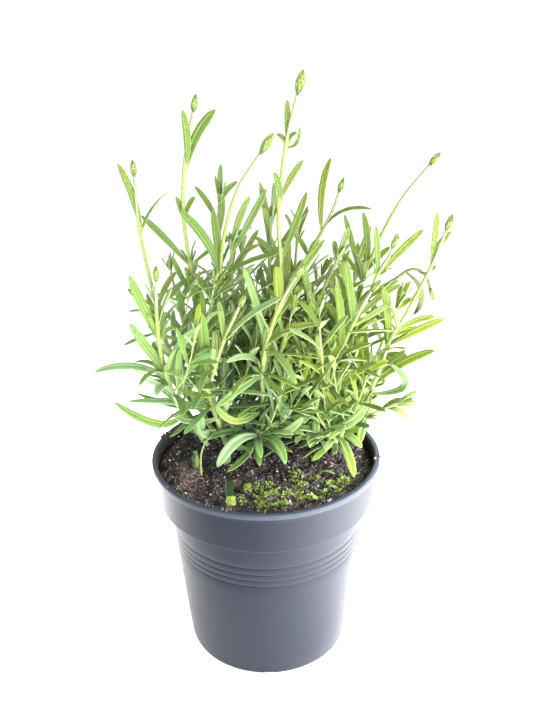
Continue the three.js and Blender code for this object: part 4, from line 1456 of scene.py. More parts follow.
@dataclass
class Pot:
    """The nursery pot: a thin turned shell with drain holes in channels under its foot."""

    sizes: PotSizes = POT
    segments: int = 168
    round_steps: int = 5
    hole_sides: int = 24
    under_edge: float = 0.55
    lip_edge: float = 0.9
    crease: float = 38

    def arc(self, middle: Pair, radius: float, first: float,
            last: float) -> list[Pair]:
        """Points of a rounded edge of the section, from one angle to another."""
        return [(middle[0] + radius * math.cos(a), middle[1] + radius * math.sin(a))
                for a in np.radians(np.linspace(first, last, self.round_steps))]

    def groove(self, z: float) -> list[Pair]:
        """Points of one soft groove round the body."""
        s, offsets = self.sizes, np.linspace(-0.5, 0.5, 7)
        return [(s.body_radius(z + share * s.groove_width)
                 - s.groove_depth * 0.5 * (1 + math.cos(2 * math.pi * share)),
                 z + share * s.groove_width) for share in offsets]

    def profile(self) -> list[Pair]:
        """The section, from the middle of the foot out, up, over the lip and down inside.

        Returns:
            Radii and heights.
        """
        s = self.sizes
        lip = s.height - s.lip_height
        step = s.collar_foot_height
        edge, round_lip, inner = self.under_edge, self.lip_edge, s.collar_radius(lip) - s.wall
        foot = s.foot_rounding
        points = [(0.0, 0.0)]
        points += [(radius, 0.0) for radius in np.linspace(8, s.body_foot_radius - foot, 7)]
        points += self.arc((s.body_foot_radius - foot, foot), foot, -75, -4)
        points += [(s.body_radius(z), z) for z in (12, 24, 36, 48, 60)]
        for z in s.groove_heights:
            points += self.groove(z)
        points += [(s.body_radius(z), z) for z in (84, 90, step - s.wall - 0.5)]
        points += [(s.body_radius(step) + 0.15, step - s.wall)]
        points += self.arc((s.collar_foot_radius - edge, step - 0.2), edge, -80, 0)
        points += [(s.collar_radius(z), z) for z in np.linspace(step + 1.2, lip - 1.2, 8)]
        points += [(s.collar_radius(lip) + 0.25, lip - 0.35), (s.rim_radius - edge - 0.3, lip)]
        points += self.arc((s.rim_radius - edge, lip + edge), edge, -80, 0)
        points += self.arc((s.rim_radius - round_lip, s.height - round_lip), round_lip, 0, 88)
        points += [(inner + 1.6, s.height)]
        points += self.arc((inner + round_lip, s.height - round_lip), round_lip, 100, 178)
        points += [(s.collar_radius(z) - s.wall, z) for z in np.linspace(lip - 2, step + 2, 6)]
        points += [(s.collar_foot_radius - s.wall, step + s.wall),
                   (s.body_top_radius - s.wall, step + 0.4)]
        points += [(s.body_radius(z) - s.wall, z) for z in (80, 60, 40, 20, s.floor)]
        points += [(30.0, s.floor), (0.0, s.floor)]
        return points

    def shell(self) -> MeshDraft:
        """The turned shell, before its drain holes are cut.

        Returns:
            The shell.
        """
        profile = np.array(self.profile())[1:-1, :, None, None]
        draft = MeshDraft()
        draft.add_sleeve(profile[:, 0] * outward(ACROSS, BACK, round_angles(self.segments))
                         + profile[:, 1] * UP)
        return draft

    def cutter(self, kind: Cut) -> Object:
        """The channels, or the drain holes, as one cutting tool.

        Args:
            kind: Which of them.

        Returns:
            The tool.
        """
        s = self.sizes
        if kind is Cut.CHANNEL:
            half, depth = s.channel_width / 2, s.channel_depth
            square = [(-half, -depth), (half, -depth), (half, depth), (-half, depth)]
            rings = [[(x, y, z) for y, z in square]
                     for x in (s.channel_start, s.body_top_radius)]
        else:
            rings = [[(s.drain_hole_circle + s.drain_hole_radius * math.cos(a),
                       s.drain_hole_radius * math.sin(a), z)
                      for a in round_angles(self.hole_sides)] for z in (-s.floor, 2 * s.floor)]
        draft = MeshDraft()
        for i in range(s.channel_count):
            turn = Matrix.Rotation((i + 0.5) * 2 * math.pi / s.channel_count, 3, "Z")
            draft.add_sleeve(np.array(rings) @ np.array(turn).T)
        return draft.to_object(f"cutter_{kind.value}", [])

    def build(self) -> None:
        """Makes the pot."""
        shell = self.shell().to_object("pot_shell", [PotFinish().make()])
        tools = [self.cutter(kind) for kind in Cut]
        for tool in tools:
            cut = shell.modifiers.new(tool.name, "BOOLEAN")
            cut.operation, cut.solver, cut.object = "DIFFERENCE", "EXACT", tool
        graph = bpy.context.evaluated_depsgraph_get()
        cut_mesh = bpy.data.meshes.new_from_object(shell.evaluated_get(graph))
        shell.modifiers.clear()
        shell.data = cut_mesh
        cut_mesh.set_sharp_from_angle(angle=math.radians(self.crease))
        for tool in tools:
            bpy.data.objects.remove(tool)
        settle_piece(shell, Slot.POT, "pot")


# ---- soil


@dataclass(frozen=True)
class Mound:
    """A smooth mound: its middle, its spread across and in depth, and its height."""

    middle: Pair
    spread: Pair
    height: float

    def rise(self, x: Array, y: Array) -> Array:
        """How much it adds at places."""
        return self.height * np.exp(-((x - self.middle[0]) ** 2 / self.spread[0]
                                      + (y - self.middle[1]) ** 2 / self.spread[1]))


# A heap and a hollow at the left of the soil: the heap's fibre makes the soil paler, and the
# hollow is painted darker as shade.
MOUNDS = (Mound((-34, -8), (20, 70), -4.5), Mound((-43, -17), (60, 60), 2.2))
HEAP_TONE_AND_HOLLOW_SHADE = (Mound((-44, -16), (120, 120), 0.3), Mound((-33, -8), (60, 120), -1.1))


@dataclass
class Soil:
    """The compost that fills the pot, with its loose crumbs, grit, fibre and bark."""

    rings: int = 120
    segments: int = 300
    edge_radius: float = 61.0
    edge_height: float = 112.0
    foot_height: float = 3.4
    wall_gap: float = 1.8
    crumbs: int = 4600
    lumps: int = 210
    fibres: int = 520
    fibre_heap: Pair = (-41, -22)
    chips: tuple[Pair, ...] = (
        (-3, -40), (-46, -13), (-30, -36), (53, 26), (-8, -15), (12, -47), (33, -44), (46, -8),
        (-20, -8), (22, -37), (-52, 8), (36, -12))
    brown_chip: int = 4
    rim_angles: tuple[float, ...] = (
        158, 161, 163, 165.5, 157, -8, -10, 200, 215, 251, 249, 282, 118)
    rim_band: Pair = (62.2, 64.6)
    splinter: Triple = (-3.2, 1.0, 4.2)
    crease: float = 40
    seed: int = 5

    @staticmethod
    def surface(x: Array, y: Array) -> Array:
        """Height of the compost's clods at places.

        Args:
            x: Places across.
            y: Places from front to back.

        Returns:
            The heights.
        """
        clods = np.array([
            1.5 * noise.fractal(Vector((a * 0.16, b * 0.16, 1.7)), 0.75, 2.1, 5)
            + 0.9 * noise.fractal(Vector((a * 0.6, b * 0.6, 4.2)), 0.6, 2.0, 3)
            for a, b in zip(x.ravel(), y.ravel())]).reshape(np.shape(x))
        return sum((mound.rise(x, y) for mound in MOUNDS), soil_height(x, y) + clods)

    def bed(self) -> None:
        """Makes the body of compost."""
        cos, sin, _ = outward(ACROSS, BACK, round_angles(self.segments)).T
        radii = self.edge_radius * np.linspace(0.012, 1, self.rings)[::-1] ** 0.9
        x, y = radii[:, None] * cos, radii[:, None] * sin
        droop = smooth_step(0.94, 1.0, radii / self.edge_radius)[:, None]
        top = self.surface(x, y) * (1 - droop) + self.edge_height * droop
        low = [(1.0, self.foot_height),
               (POT.body_radius(POT.floor) - self.wall_gap, self.foot_height),
               (POT.body_radius(95) - self.wall_gap, 96.6),
               (POT.collar_foot_radius - self.wall_gap, 98.0)]
        rings = [np.stack([r * cos, r * sin, np.full_like(cos, z)], -1) for r, z in low]
        points, faces = sleeve(np.concatenate([np.array(rings), np.stack([x, y, top], -1)]))
        tones = np.array([noise.fractal(Vector((p[0] * 0.08, p[1] * 0.08, 9.0)), 1.0, 2.0, 3)
                          for p in points])
        # The heap's fibre lightens the soil, and the hollow is painted darker as shade.
        tones = sum((shade.rise(*points.T[:2]) for shade in HEAP_TONE_AND_HOLLOW_SHADE), 0.45 + 0.35 * tones)
        draft = MeshDraft()
        draft.add(points, faces, tone=np.clip(tones, 0, 1))
        settle_piece(draft.to_object("soil_bed", [SoilFinish().make()]), Slot.SOIL, "soil")

    def spots(self, count: int, rng: np.random.Generator) -> Array:
        """Places across and in depth, evenly scattered on the soil."""
        radius = (self.edge_radius - 1.2) * np.sqrt(rng.uniform(0, 1, count))
        return radius * outward(ACROSS, BACK, rng.uniform(0, 2 * np.pi, count)).T[:2]

    def litter(self) -> None:
        """Makes the crumbs, grit and bark chips."""
        rng = np.random.default_rng(self.seed)
        draft = MeshDraft()
        fine, coarse = Crumb(1), Crumb(2)
        for form, count, low, high in (
                (fine, self.crumbs, 0.15, 0.75), (coarse, self.lumps, 0.6, 1.5)):
            x, y = self.spots(count, rng)
            size = low + (high - low) * rng.uniform(0, 1, count) ** 2
            sizes = size[:, None] * rng.uniform(0.55, 1.2, (count, 3))
            z = self.surface(x, y) + size * 0.2
            tones = rng.uniform(0, 1, count) ** 1.7 * 0.78
            if form is fine:
                pale = rng.uniform(0.72, 1.0, count) - size * 0.12
                tones = np.where(rng.uniform(0, 1, count) > 0.74, pale, tones)
            form.scatter(draft, np.stack([x, y, z], -1), sizes, tones, rng)
        chips = np.array(self.chips, float)
        sizes = np.array([(2.0, 0.9, 0.5)] * len(chips)) * rng.uniform(0.4, 1.1, (len(chips), 3))
        z = self.surface(*chips.T) + 0.6
        tones = rng.uniform(0.74, 0.9, len(chips))
        tones[self.brown_chip] = 0.66
        coarse.scatter(draft, np.column_stack([chips, z]), sizes, tones, rng, 0.2)
        settle_piece(draft.to_object("soil_crumbs", [CrumbFinish().make()], self.crease),
                     Slot.SOIL)

    def threads(self) -> None:
        """Makes the fibres and rootlets, thickest in the heap at the left."""
        rng = np.random.default_rng(self.seed + 1)
        draft = MeshDraft()
        x, y = self.spots(self.fibres, rng)
        heaped = self.fibres // 3
        x[:heaped] = rng.normal(self.fibre_heap[0], 6, heaped)
        y[:heaped] = rng.normal(self.fibre_heap[1], 8, heaped)
        kept = np.hypot(x, y) < self.edge_radius - 5
        s = np.linspace(0, 1, 7)
        for x0, y0 in zip(x[kept], y[kept]):
            length, bend = rng.uniform(2.5, 9), rng.normal(0, 1.4)
            angle = rng.uniform(0, 2 * np.pi) + bend * s
            run = np.stack([np.cos(angle), np.sin(angle)]).cumsum(1) * length / 7
            px, py = x0 + run[0], y0 + run[1]
            if (np.hypot(px, py) > self.edge_radius - 1).any():
                continue
            rise = rng.uniform(0.1, 1.1) * np.sin(np.pi * s)
            ground = self.surface(px, py)
            pz = ground * 0.5 + ground.mean() * 0.5 + 0.2 + rise
            radii = rng.uniform(0.07, 0.18) * (1 - 0.6 * s)
            draft.add_sleeve(tube_rings(np.stack([px, py, pz], -1), radii, 4),
                             tone=rng.uniform(0.45, 0.88))
        settle_piece(draft.to_object("soil_fibres", [CrumbFinish("fibres").make()]), Slot.SOIL)

    def rim_dirt(self) -> None:
        """Makes a few crumbs and a splinter stuck to the rim."""
        rng = np.random.default_rng(self.seed + 2)
        count = len(self.rim_angles)
        places = outward(ACROSS, BACK, np.radians(self.rim_angles))
        places = places * rng.uniform(*self.rim_band, (count, 1)) + UP * (POT.height + 0.25)
        draft = MeshDraft()
        sizes = rng.uniform(0.5, 1.1, (count, 3))
        Crumb(2).scatter(draft, places, sizes, rng.uniform(0.1, 0.8, count), rng)
        run = np.linspace(0, 1, 6)[:, None]
        points = places[1] + run * np.array(self.splinter) + np.sin(run * 3) * 0.4
        draft.add_sleeve(tube_rings(points, 0.28 * (1 - 0.6 * run[:, 0]), 5), tone=0.4)
        settle_piece(draft.to_object(
            "rim_crumbs", [CrumbFinish("rim_dirt").make()], self.crease), Slot.SOIL)

    def build(self) -> None:
        """Makes the compost and all that lies on it."""
        self.bed()
        self.litter()
        self.threads()
        self.rim_dirt()


# ---- shoots


class Air:
    """The places that stems and leaves already fill."""

    def __init__(self) -> None:
        """Starts empty."""
        self.filled: list[Array] = []

    def fill(self, *courses: Array) -> None:
        """Takes the places of courses of points."""
        self.filled += courses

    def room(self, points: Array) -> float:
        """Distance from points to the nearest place that is taken."""
        gaps = np.linalg.norm(np.concatenate(self.filled)[None] - points[:, None], axis=-1)
        return float(gaps.min())


def is_off_pot(points: Array, over_rim: float = 3.0, inner_radius: float = 57.5,
               over_soil: float = 1.0) -> bool:
    """Whether points keep off the soil and off the pot's rim.

    Args:
        points: The points, (n, 3).
        over_rim: How far above the rim every place is free.
        inner_radius: Radius in which lower places are free as well.
        over_soil: How far above the soil they are.

    Returns:
        True where all of them do.
    """
    x, y, z = points.T
    inside = (np.hypot(x, y) < inner_radius) & (z > soil_height(x, y) + over_soil)
    return bool(np.all((z > POT.height + over_rim) | inside))


@dataclass
class LeafyShoot:
    """One shoot: its stem, the leaves of its solid, and the young leaves that fill it out."""

    index: int
    plan: ShootPlan
    sides: int = 12
    ring_step: float = 1.5
    swelling: float = 0.28
    node_reach: float = 1.5
    match_gap: float = 0.03
    axil_share: float = 0.8
    tuft_ceiling: float = 232
    fill_first: float = 4
    fill_last: float = 105
    fill_count: int = 13
    fill_room: float = 0.5
    tries: int = 14
    branch_count: int = 2
    branch_room: float = 2.0
    branch_reach: float = 60
    branch_spacing: float = 13
    open_side: float = 38
    open_below: float = 150
    foot_reach: float = 58
    widens_from: float = 128
    widening: float = 0.5
    most_widening: float = 24
    narrows_from: float = 165
    narrowing: float = 0.0023
    low_leaf: float = 112
    high_leaf: float = 225
    broad_band: Pair = (130, 200)
    broadening: float = 0.42
    broadest: float = 5.3
    # Heights above which leaves on the right are painted yellower, as lit.
    painted_light_band: Pair = (130, 175)

    def __post_init__(self) -> None:
        """Finds the solid, the line and the leaves."""
        self.node = "withered_stem" if self.plan.withered else f"leafy_stem_{self.index + 1:02d}"
        self.rng = np.random.default_rng(900 + self.index)
        self.draft = MeshDraft()
        self.line = StemLine.through(self.plan.root, self.plan.path)
        self.leaves = self.settled_leaves()
        self.young: list[tuple[Leaf, LeafDetail]] = []
        self.branches: list[Leaf] = []

    def settled_leaves(self) -> list[Leaf]:
        """Finds the leaves at the tries on which the shoot's solid has them.

        Returns:
            The leaves.
        """
        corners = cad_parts[self.node].data.vertices
        tree = KDTree(len(corners))
        for i, corner in enumerate(corners):
            tree.insert(corner.co / MM, i)
        tree.balance()
        found = []
        for row, wish in enumerate([*self.plan.leaves, *grown_wishes(self.plan, self.index)]):
            place, turn, rise, length, *rest = wish
            for more_turn, more_rise, share in TRIES:
                leaf = Leaf.wished(self.line, (
                    place, turn + more_turn, rise + more_rise, length * share, *rest))
                if tree.find(leaf.corner())[2] < self.match_gap:
                    kept = (self.index, row) in AS_WISHED
                    found.append(Leaf.wished(self.line, wish) if kept else leaf)
                    break
        return found

    def fill_air(self, air: Air) -> None:
        """Takes the places of the stem and of the settled leaves."""
        stem = self.line.at(np.arange(0, self.line.end, 2.0))[0]
        air.fill(stem, *(leaf.spine(np.linspace(0.15, 1, 8))[0] for leaf in self.leaves))

    def grow_tufts(self) -> None:
        """Grows small upright leaves in the axils and a tuft at a tip that has no head."""
        for leaf in self.leaves:
            high = leaf.base[2] > self.tuft_ceiling
            if self.plan.withered or high or self.rng.uniform() > self.axil_share:
                continue
            point, way = self.line.at(leaf.place)
            out = square_to(unit(leaf.tip - leaf.base), way)
            across = np.cross(way, out)
            for _ in range(self.rng.integers(1, 4)):
                chord = unit(way + out * self.rng.uniform(0.2, 0.6)
                             + across * self.rng.uniform(-0.35, 0.35))
                length = self.rng.uniform(6, 17) * (1.15 - 0.4 * leaf.place / self.line.end)
                start = point + out * float(self.line.radius(leaf.place)) * 0.6
                self.young.append((Leaf.towards(
                    start, chord, length, self.rng.uniform(0, 0.08), way - out,
                    self.rng.uniform(1.5, 2.4), leaf.place), LeafDetail.BUD))
        if self.plan.head is None:
            self.grow_tip(*self.line.at(self.line.end - 0.8), 1.0)

    def grow_tip(self, point: Array, way: Array, size: float) -> None:
        """Grows the tuft of young leaves at a bare tip.

        Args:
            point: The tip.
            way: The way that it points.
            size: Its size beside that of a main stem.
        """
        side, other = ways_round(way, np.array([0.0, 1.0, 0.2]))
        for k in range(8):
            out = outward(
                side, other, k * math.pi / 2 + (k // 2) * 0.7 + self.rng.normal(0, 0.2))
            lean = self.rng.uniform(0.05, 0.18) if k > 3 else self.rng.uniform(0.2, 0.45)
            length = size * (self.rng.uniform(5, 8) if k > 3 else self.rng.uniform(10, 16))
            self.young.append((Leaf.towards(
                point, unit(way + out * lean), length, 0.03, way - out,
                self.rng.uniform(1.8, 2.7), self.line.end), LeafDetail.BUD))

    def freest(self, air: Air, wish: Callable[[], Leaf], enough: float) -> Leaf | None:
        """The one of several chance wishes that has the most room.

        Args:
            air: The places that are taken.
            wish: Draws a leaf, or a side shoot's line.
            enough: The least room that will do, in millimetres.

        Returns:
            The wish, or nothing where all are too close to something.
        """
        best, best_room = None, enough
        for _ in range(self.tries):
            leaf = wish()
            course = leaf.spine(np.linspace(0.3, 1, 6))[0]
            fits = is_off_pot(course) and math.hypot(*leaf.tip[:2]) < self.widest(leaf.tip[2])
            fits = fits and (leaf.tip[0] < self.open_side or leaf.tip[2] > self.open_below)
            room = air.room(course) if fits else 0.0
            if room > best_room:
                best, best_room = leaf, room
        if best is not None:
            air.fill(best.spine(np.linspace(0.3, 1, 6))[0])
        return best

    def widest(self, height: float) -> float:
        """How far out young growth reaches at a height: less near the plant's foot and top."""
        rise = min(max((height - self.widens_from) * self.widening, 0.0), self.most_widening)
        return self.foot_reach + rise - self.narrowing * max(height - self.narrows_from, 0) ** 2

    def wish_leaf(self) -> Leaf:
        """A chance leaf on the stem.

        Returns:
            The leaf.
        """
        last = min(self.fill_last, self.line.end * 0.6)
        place = self.rng.uniform(self.fill_first, max(last, self.fill_first + 4))
        turn, rise = self.rng.uniform(0, 360), self.rng.uniform(-8, 72)
        length = self.rng.uniform(18, 42)
        upper = heading(turn + 180, 45 + (45 - rise) * 0.6)
        return Leaf.towards(
            self.line.at(place)[0], heading(turn, rise), length, self.rng.uniform(0.0, 0.15),
            upper, self.rng.uniform(3.2, 5.0), place)

    def wish_branch(self) -> Leaf:
        """A chance line of a side shoot that leans out and turns up.

        Returns:
            The line, as a leaf with no width.
        """
        place = self.rng.uniform(6, max(12, min(62, self.line.end * 0.42)))
        turn, length = self.rng.uniform(0, 360), self.rng.uniform(30, 72)
        start = self.line.at(place)[0]
        middle = start + heading(turn, self.rng.uniform(25, 55)) * length * 0.4
        tip = middle + heading(turn, self.rng.uniform(66, 84)) * length * 0.62
        if math.hypot(*tip[:2]) > self.branch_reach:
            return self.wish_branch()
        return Leaf(start, middle, tip, heading(turn + 180, 10), length, 0.0, place)

    def grow_branch(self, branch: Leaf) -> None:
        """Grows a side shoot with its pairs of leaves and its tuft.

        Args:
            branch: Its line.
        """
        self.branches.append(branch)
        shares = np.linspace(0.2, 0.9, max(3, round(branch.length / self.branch_spacing)))
        points, ways, up, side = branch.spine(shares)
        for k, share in enumerate(shares):
            for turn in (0, math.pi):
                out = outward(
                    up[k], side[k], turn + k * math.pi / 2 + self.rng.normal(0.4, 0.25))
                chord = unit(ways[k] + out * self.rng.uniform(0.45, 1.1))
                length = self.rng.uniform(21, 34) * (1.05 - 0.45 * share)
                leaf = Leaf.towards(points[k], chord, length, self.rng.uniform(0, 0.1),
                                    ways[k] - out, self.rng.uniform(3.0, 4.4), branch.place)
                if is_off_pot(leaf.spine(np.linspace(0.3, 1, 4))[0]):
                    self.young.append((leaf, LeafDetail.YOUNG))
        self.grow_tip(branch.tip, ways[-1], 0.8)

    def grow_filling(self, air: Air) -> None:
        """Grows side shoots and more leaves low on the stem, in the freest places.

        Args:
            air: The places that are taken.
        """
        if self.plan.withered:
            return
        for _ in range(self.branch_count):
            branch = self.freest(air, self.wish_branch, self.branch_room)
            if branch is not None:
                self.grow_branch(branch)
        for _ in range(self.fill_count):
            leaf = self.freest(air, self.wish_leaf, self.fill_room)
            if leaf is not None:
                self.young.append((leaf, LeafDetail.YOUNG))

    def add_stem(self) -> None:
        """Adds the square stem with its swollen nodes."""
        end = self.line.end - (STEM.socket_depth * 0.5 if self.plan.head else 0.3)
        lengths = np.append(np.arange(-6, end, self.ring_step), end)
        places = np.array([leaf.place for leaf in self.leaves] or [-99.0])
        node = np.exp(-((lengths[:, None] - places) / self.node_reach) ** 2).max(axis=1)
        radii = self.line.radius(lengths) * (1.06 + self.swelling * node)
        if not self.plan.head:
            radii[-1] *= 0.4
        corner = np.cos(4 * round_angles(self.sides))
        along = lengths / self.line.end * (0.6 if self.plan.withered else 1)
        rings = tube_rings(
            self.line.at(lengths)[0], radii[:, None] * (1 + 0.08 * corner), self.sides)
        self.draft.add_sleeve(rings, 1, along=along[:, None], across=corner,
                              under=node[:, None], tone=self.rng.uniform())

    def bent_leaf(self, bent: BentLeaf) -> Leaf:
        """The leaf that passes through its middle point."""
        base, tip = self.line.at(bent.place)[0], np.array(bent.tip)
        return Leaf(base, 2 * np.array(bent.middle) - (base + tip) / 2, tip, heading(-90, 40),
                    float(np.linalg.norm(tip - base)), bent.width, bent.place)

    def tone_of(self, leaf: Leaf) -> float:
        """A leaf's chance shade, made yellower high up on the right, where the plant leans to the
        lamps, as painted light.
        """
        lit = min(max(leaf.tip[0] / 80, 0), 1) * float(smooth_step(*self.painted_light_band, leaf.tip[2]))
        return 0.08 + 0.92 * self.rng.uniform() * (1 - 0.55 * lit)

    def age_of(self, leaf: Leaf) -> float:
        """How old a leaf looks: older low on the plant and on its shaded side."""
        low = 1 - (leaf.base[2] - self.low_leaf) / (self.high_leaf - self.low_leaf)
        return float(np.clip(low * 0.75 - leaf.tip[0] / 180 + self.rng.normal(0, 0.22), 0, 1))

    def broadened(self, leaf: Leaf) -> Leaf:
        """A leaf of the solid at the width that it looks: broader low on the plant."""
        share = 1 + self.broadening * float(1 - smooth_step(*self.broad_band, leaf.base[2]))
        return replace(leaf, width=min(leaf.width * share, max(leaf.width, self.broadest)))

    def build(self, materials: Sequence[Material]) -> None:
        """Makes the shoot.

        Args:
            materials: Those of its leaves and of its stem.
        """
        self.add_stem()
        shares = np.linspace(0, 1, 12)
        for branch in self.branches:
            rings = tube_rings(branch.spine(shares)[0], 0.75 - 0.35 * shares, 6)
            self.draft.add_sleeve(rings, 1, along=0.35, tone=self.rng.uniform())
        for leaf in self.leaves:
            age = self.age_of(leaf)
            add_leaf(self.draft, self.broadened(leaf), LeafDetail.FULL,
                     BladeForm.natural(self.rng, age), self.tone_of(leaf), age)
        for leaf, detail in self.young:
            age = self.age_of(leaf) * (0.5 if detail is LeafDetail.BUD else 1)
            add_leaf(self.draft, leaf, detail, BladeForm.natural(self.rng, age),
                     self.tone_of(leaf) * 0.85, age)
        bent = BENT.get(self.index + 1)
        if bent is not None:
            add_leaf(self.draft, self.bent_leaf(bent), LeafDetail.FULL,
                     BladeForm(fold=0.2, twist=0.3), bent.tone, bent.age)
        name = self.node.replace("leafy_stem", "shoot").replace("withered_stem", "withered_shoot")
        slot = Slot.WITHERED if self.plan.withered else Slot.FOLIAGE
        settle_piece(self.draft.to_object(name, materials), slot, self.node)


@dataclass
class Twig:
    """A dead twig that stands in the soil."""

    sides: int = 8

    def build(self, material: Material) -> None:
        """Makes the twig.

        Args:
            material: Its material.
        """
        line = StemLine.through(TWIG.root, TWIG.path)
        lengths = np.linspace(-4, line.end, 26)
        knots = 1 + 0.25 * np.exp(-((lengths - 6) / 1.2) ** 2) + 0.12 * np.sin(lengths * 2.3)
        radii = line.radius(lengths) * 0.85 * knots
        draft = MeshDraft()
        draft.add_sleeve(tube_rings(line.at(lengths)[0], radii, self.sides), along=1.0, tone=0.1)
        settle_piece(draft.to_object("twig", [material]), Slot.WITHERED, "dry_twig")


# ---- flower heads


@dataclass(frozen=True)
class HeadSizes:
    """Sizes of a flower head and of its scales."""

    length: float
    radius: float
    whorls: int
    scales: int
    scale_length: float
    scale_width: float
    neck: float


HEAD_SIZES = {
    HeadKind.SMALL: HeadSizes(8.3, 1.65, 3, 5, 5.2, 2.3, 0.3),
    HeadKind.LARGE: HeadSizes(10.6, 2.5, 4, 6, 5.2, 2.7, 1.8),
}


@dataclass
class FlowerHead:
    """An unopened head: a core hidden under whorls of overlapping pointed scales."""

    shoot: LeafyShoot
    number: int
    core_sides: int = 14
    core_rows: int = 12
    neck_radius: float = 0.6
    along_steps: int = 7
    across_steps: int = 5
    withered_girth: float = 0.72

    def __post_init__(self) -> None:
        """Finds where the head stands and the ways round it."""
        plan, line = self.shoot.plan, self.shoot.line
        self.node = "withered_head" if plan.withered else f"flower_head_{self.number:02d}"
        point, self.way = line.at(line.end)
        self.sizes = HEAD_SIZES[plan.head]
        self.foot = point - self.way * (STEM.socket_depth - self.sizes.neck)
        self.side, self.other = ways_round(self.way)
        self.rng = np.random.default_rng(300 + self.shoot.index)
        self.girth = self.withered_girth if plan.withered else 1.0
        self.draft = MeshDraft()

    def out(self, angle: float | Array) -> Array:
        """The way out from the head's axis at an angle round it."""
        return outward(self.side, self.other, angle)

    def core_radius(self, share: Array | float) -> Array:
        """Radius of the core at a share of the head's length."""
        swell = np.sin(np.pi * (0.2 + 0.8 * np.clip(share, 0, 1))).clip(0) ** 0.8
        return self.sizes.radius * self.girth * swell

    def add_core(self) -> None:
        """Adds the core."""
        shares = np.linspace(0.0, 0.97, self.core_rows)
        middle = self.foot + self.way * (shares * self.sizes.length)[:, None]
        middle[0] = self.foot - self.way * (self.sizes.neck + 0.6)
        reach = self.core_radius(shares) * 0.78
        reach[0] = self.neck_radius
        out = self.out(round_angles(self.core_sides))
        self.draft.add_sleeve(middle[:, None] + out * reach[:, None, None], tone=0.2)

    def add_scale(self, share: float, angle: float, size: float) -> None:
        """Adds one scale, hollow inside, standing on the core.

        Args:
            share: Height of its foot as a share of the head's length.
            angle: Its place round the head.
            size: Its size beside a full scale.
        """
        a = np.linspace(0, 1, self.along_steps)[:, None]
        b = np.linspace(-1, 1, self.across_steps)[None]
        length = self.sizes.scale_length * size
        width = self.sizes.scale_width * size * self.girth * 0.5
        blade = width * np.sin(np.pi * (0.14 + 0.86 * a ** 0.8)).clip(0) ** 0.9
        height = share * self.sizes.length + a * length
        reach = self.core_radius(np.clip(height / self.sizes.length, 0, 1))
        stand = 0.76 * reach + 0.34 * size * np.sin(np.pi * a * 0.8) + 0.12
        out, across = self.out(angle), self.out(angle + math.pi / 2)
        wrap = 0.42 * b ** 2 * blade
        offset = self.rng.normal(0, 0.08)
        outer = (self.foot + self.way * (height + 0 * b)[..., None]
                 + out * (stand - wrap)[..., None] + across * (blade * b + offset)[..., None])
        self.draft.add_sleeve(two_faced(outer, outer - out * 0.16), along=a,
                              across=two_faced(b, b), tone=self.rng.uniform())

    def build(self, material: Material) -> None:
        """Makes the head.

        Args:
            material: Its scales' material.
        """
        self.add_core()
        whorls, scales = self.sizes.whorls, self.sizes.scales
        for row in range(whorls):
            taper = 1 - 0.25 * row / whorls
            room = 1 - taper * self.sizes.scale_length / self.sizes.length
            share = 0.02 + room * row / (whorls - 1)
            count = scales if row < whorls - 1 else max(3, scales - 2)
            for k in range(count):
                angle = (k + 0.5 * (row % 2)) * 2 * math.pi / count + self.rng.normal(0, 0.08)
                self.add_scale(share, angle, taper * self.rng.uniform(0.86, 1.0))
        slot = Slot.WITHERED if self.shoot.plan.withered else Slot.BUD
        name = self.node.replace("flower_head", "bud").replace("withered_head", "withered_bud")
        settle_piece(self.draft.to_object(name, [material]), slot, self.node)


# ---- on the soil


@dataclass(frozen=True)
class Patch:
    """A patch of low green growth: its middle, its half widths and its count of lobes."""

    middle: Pair
    reach: Pair
    lobes: int


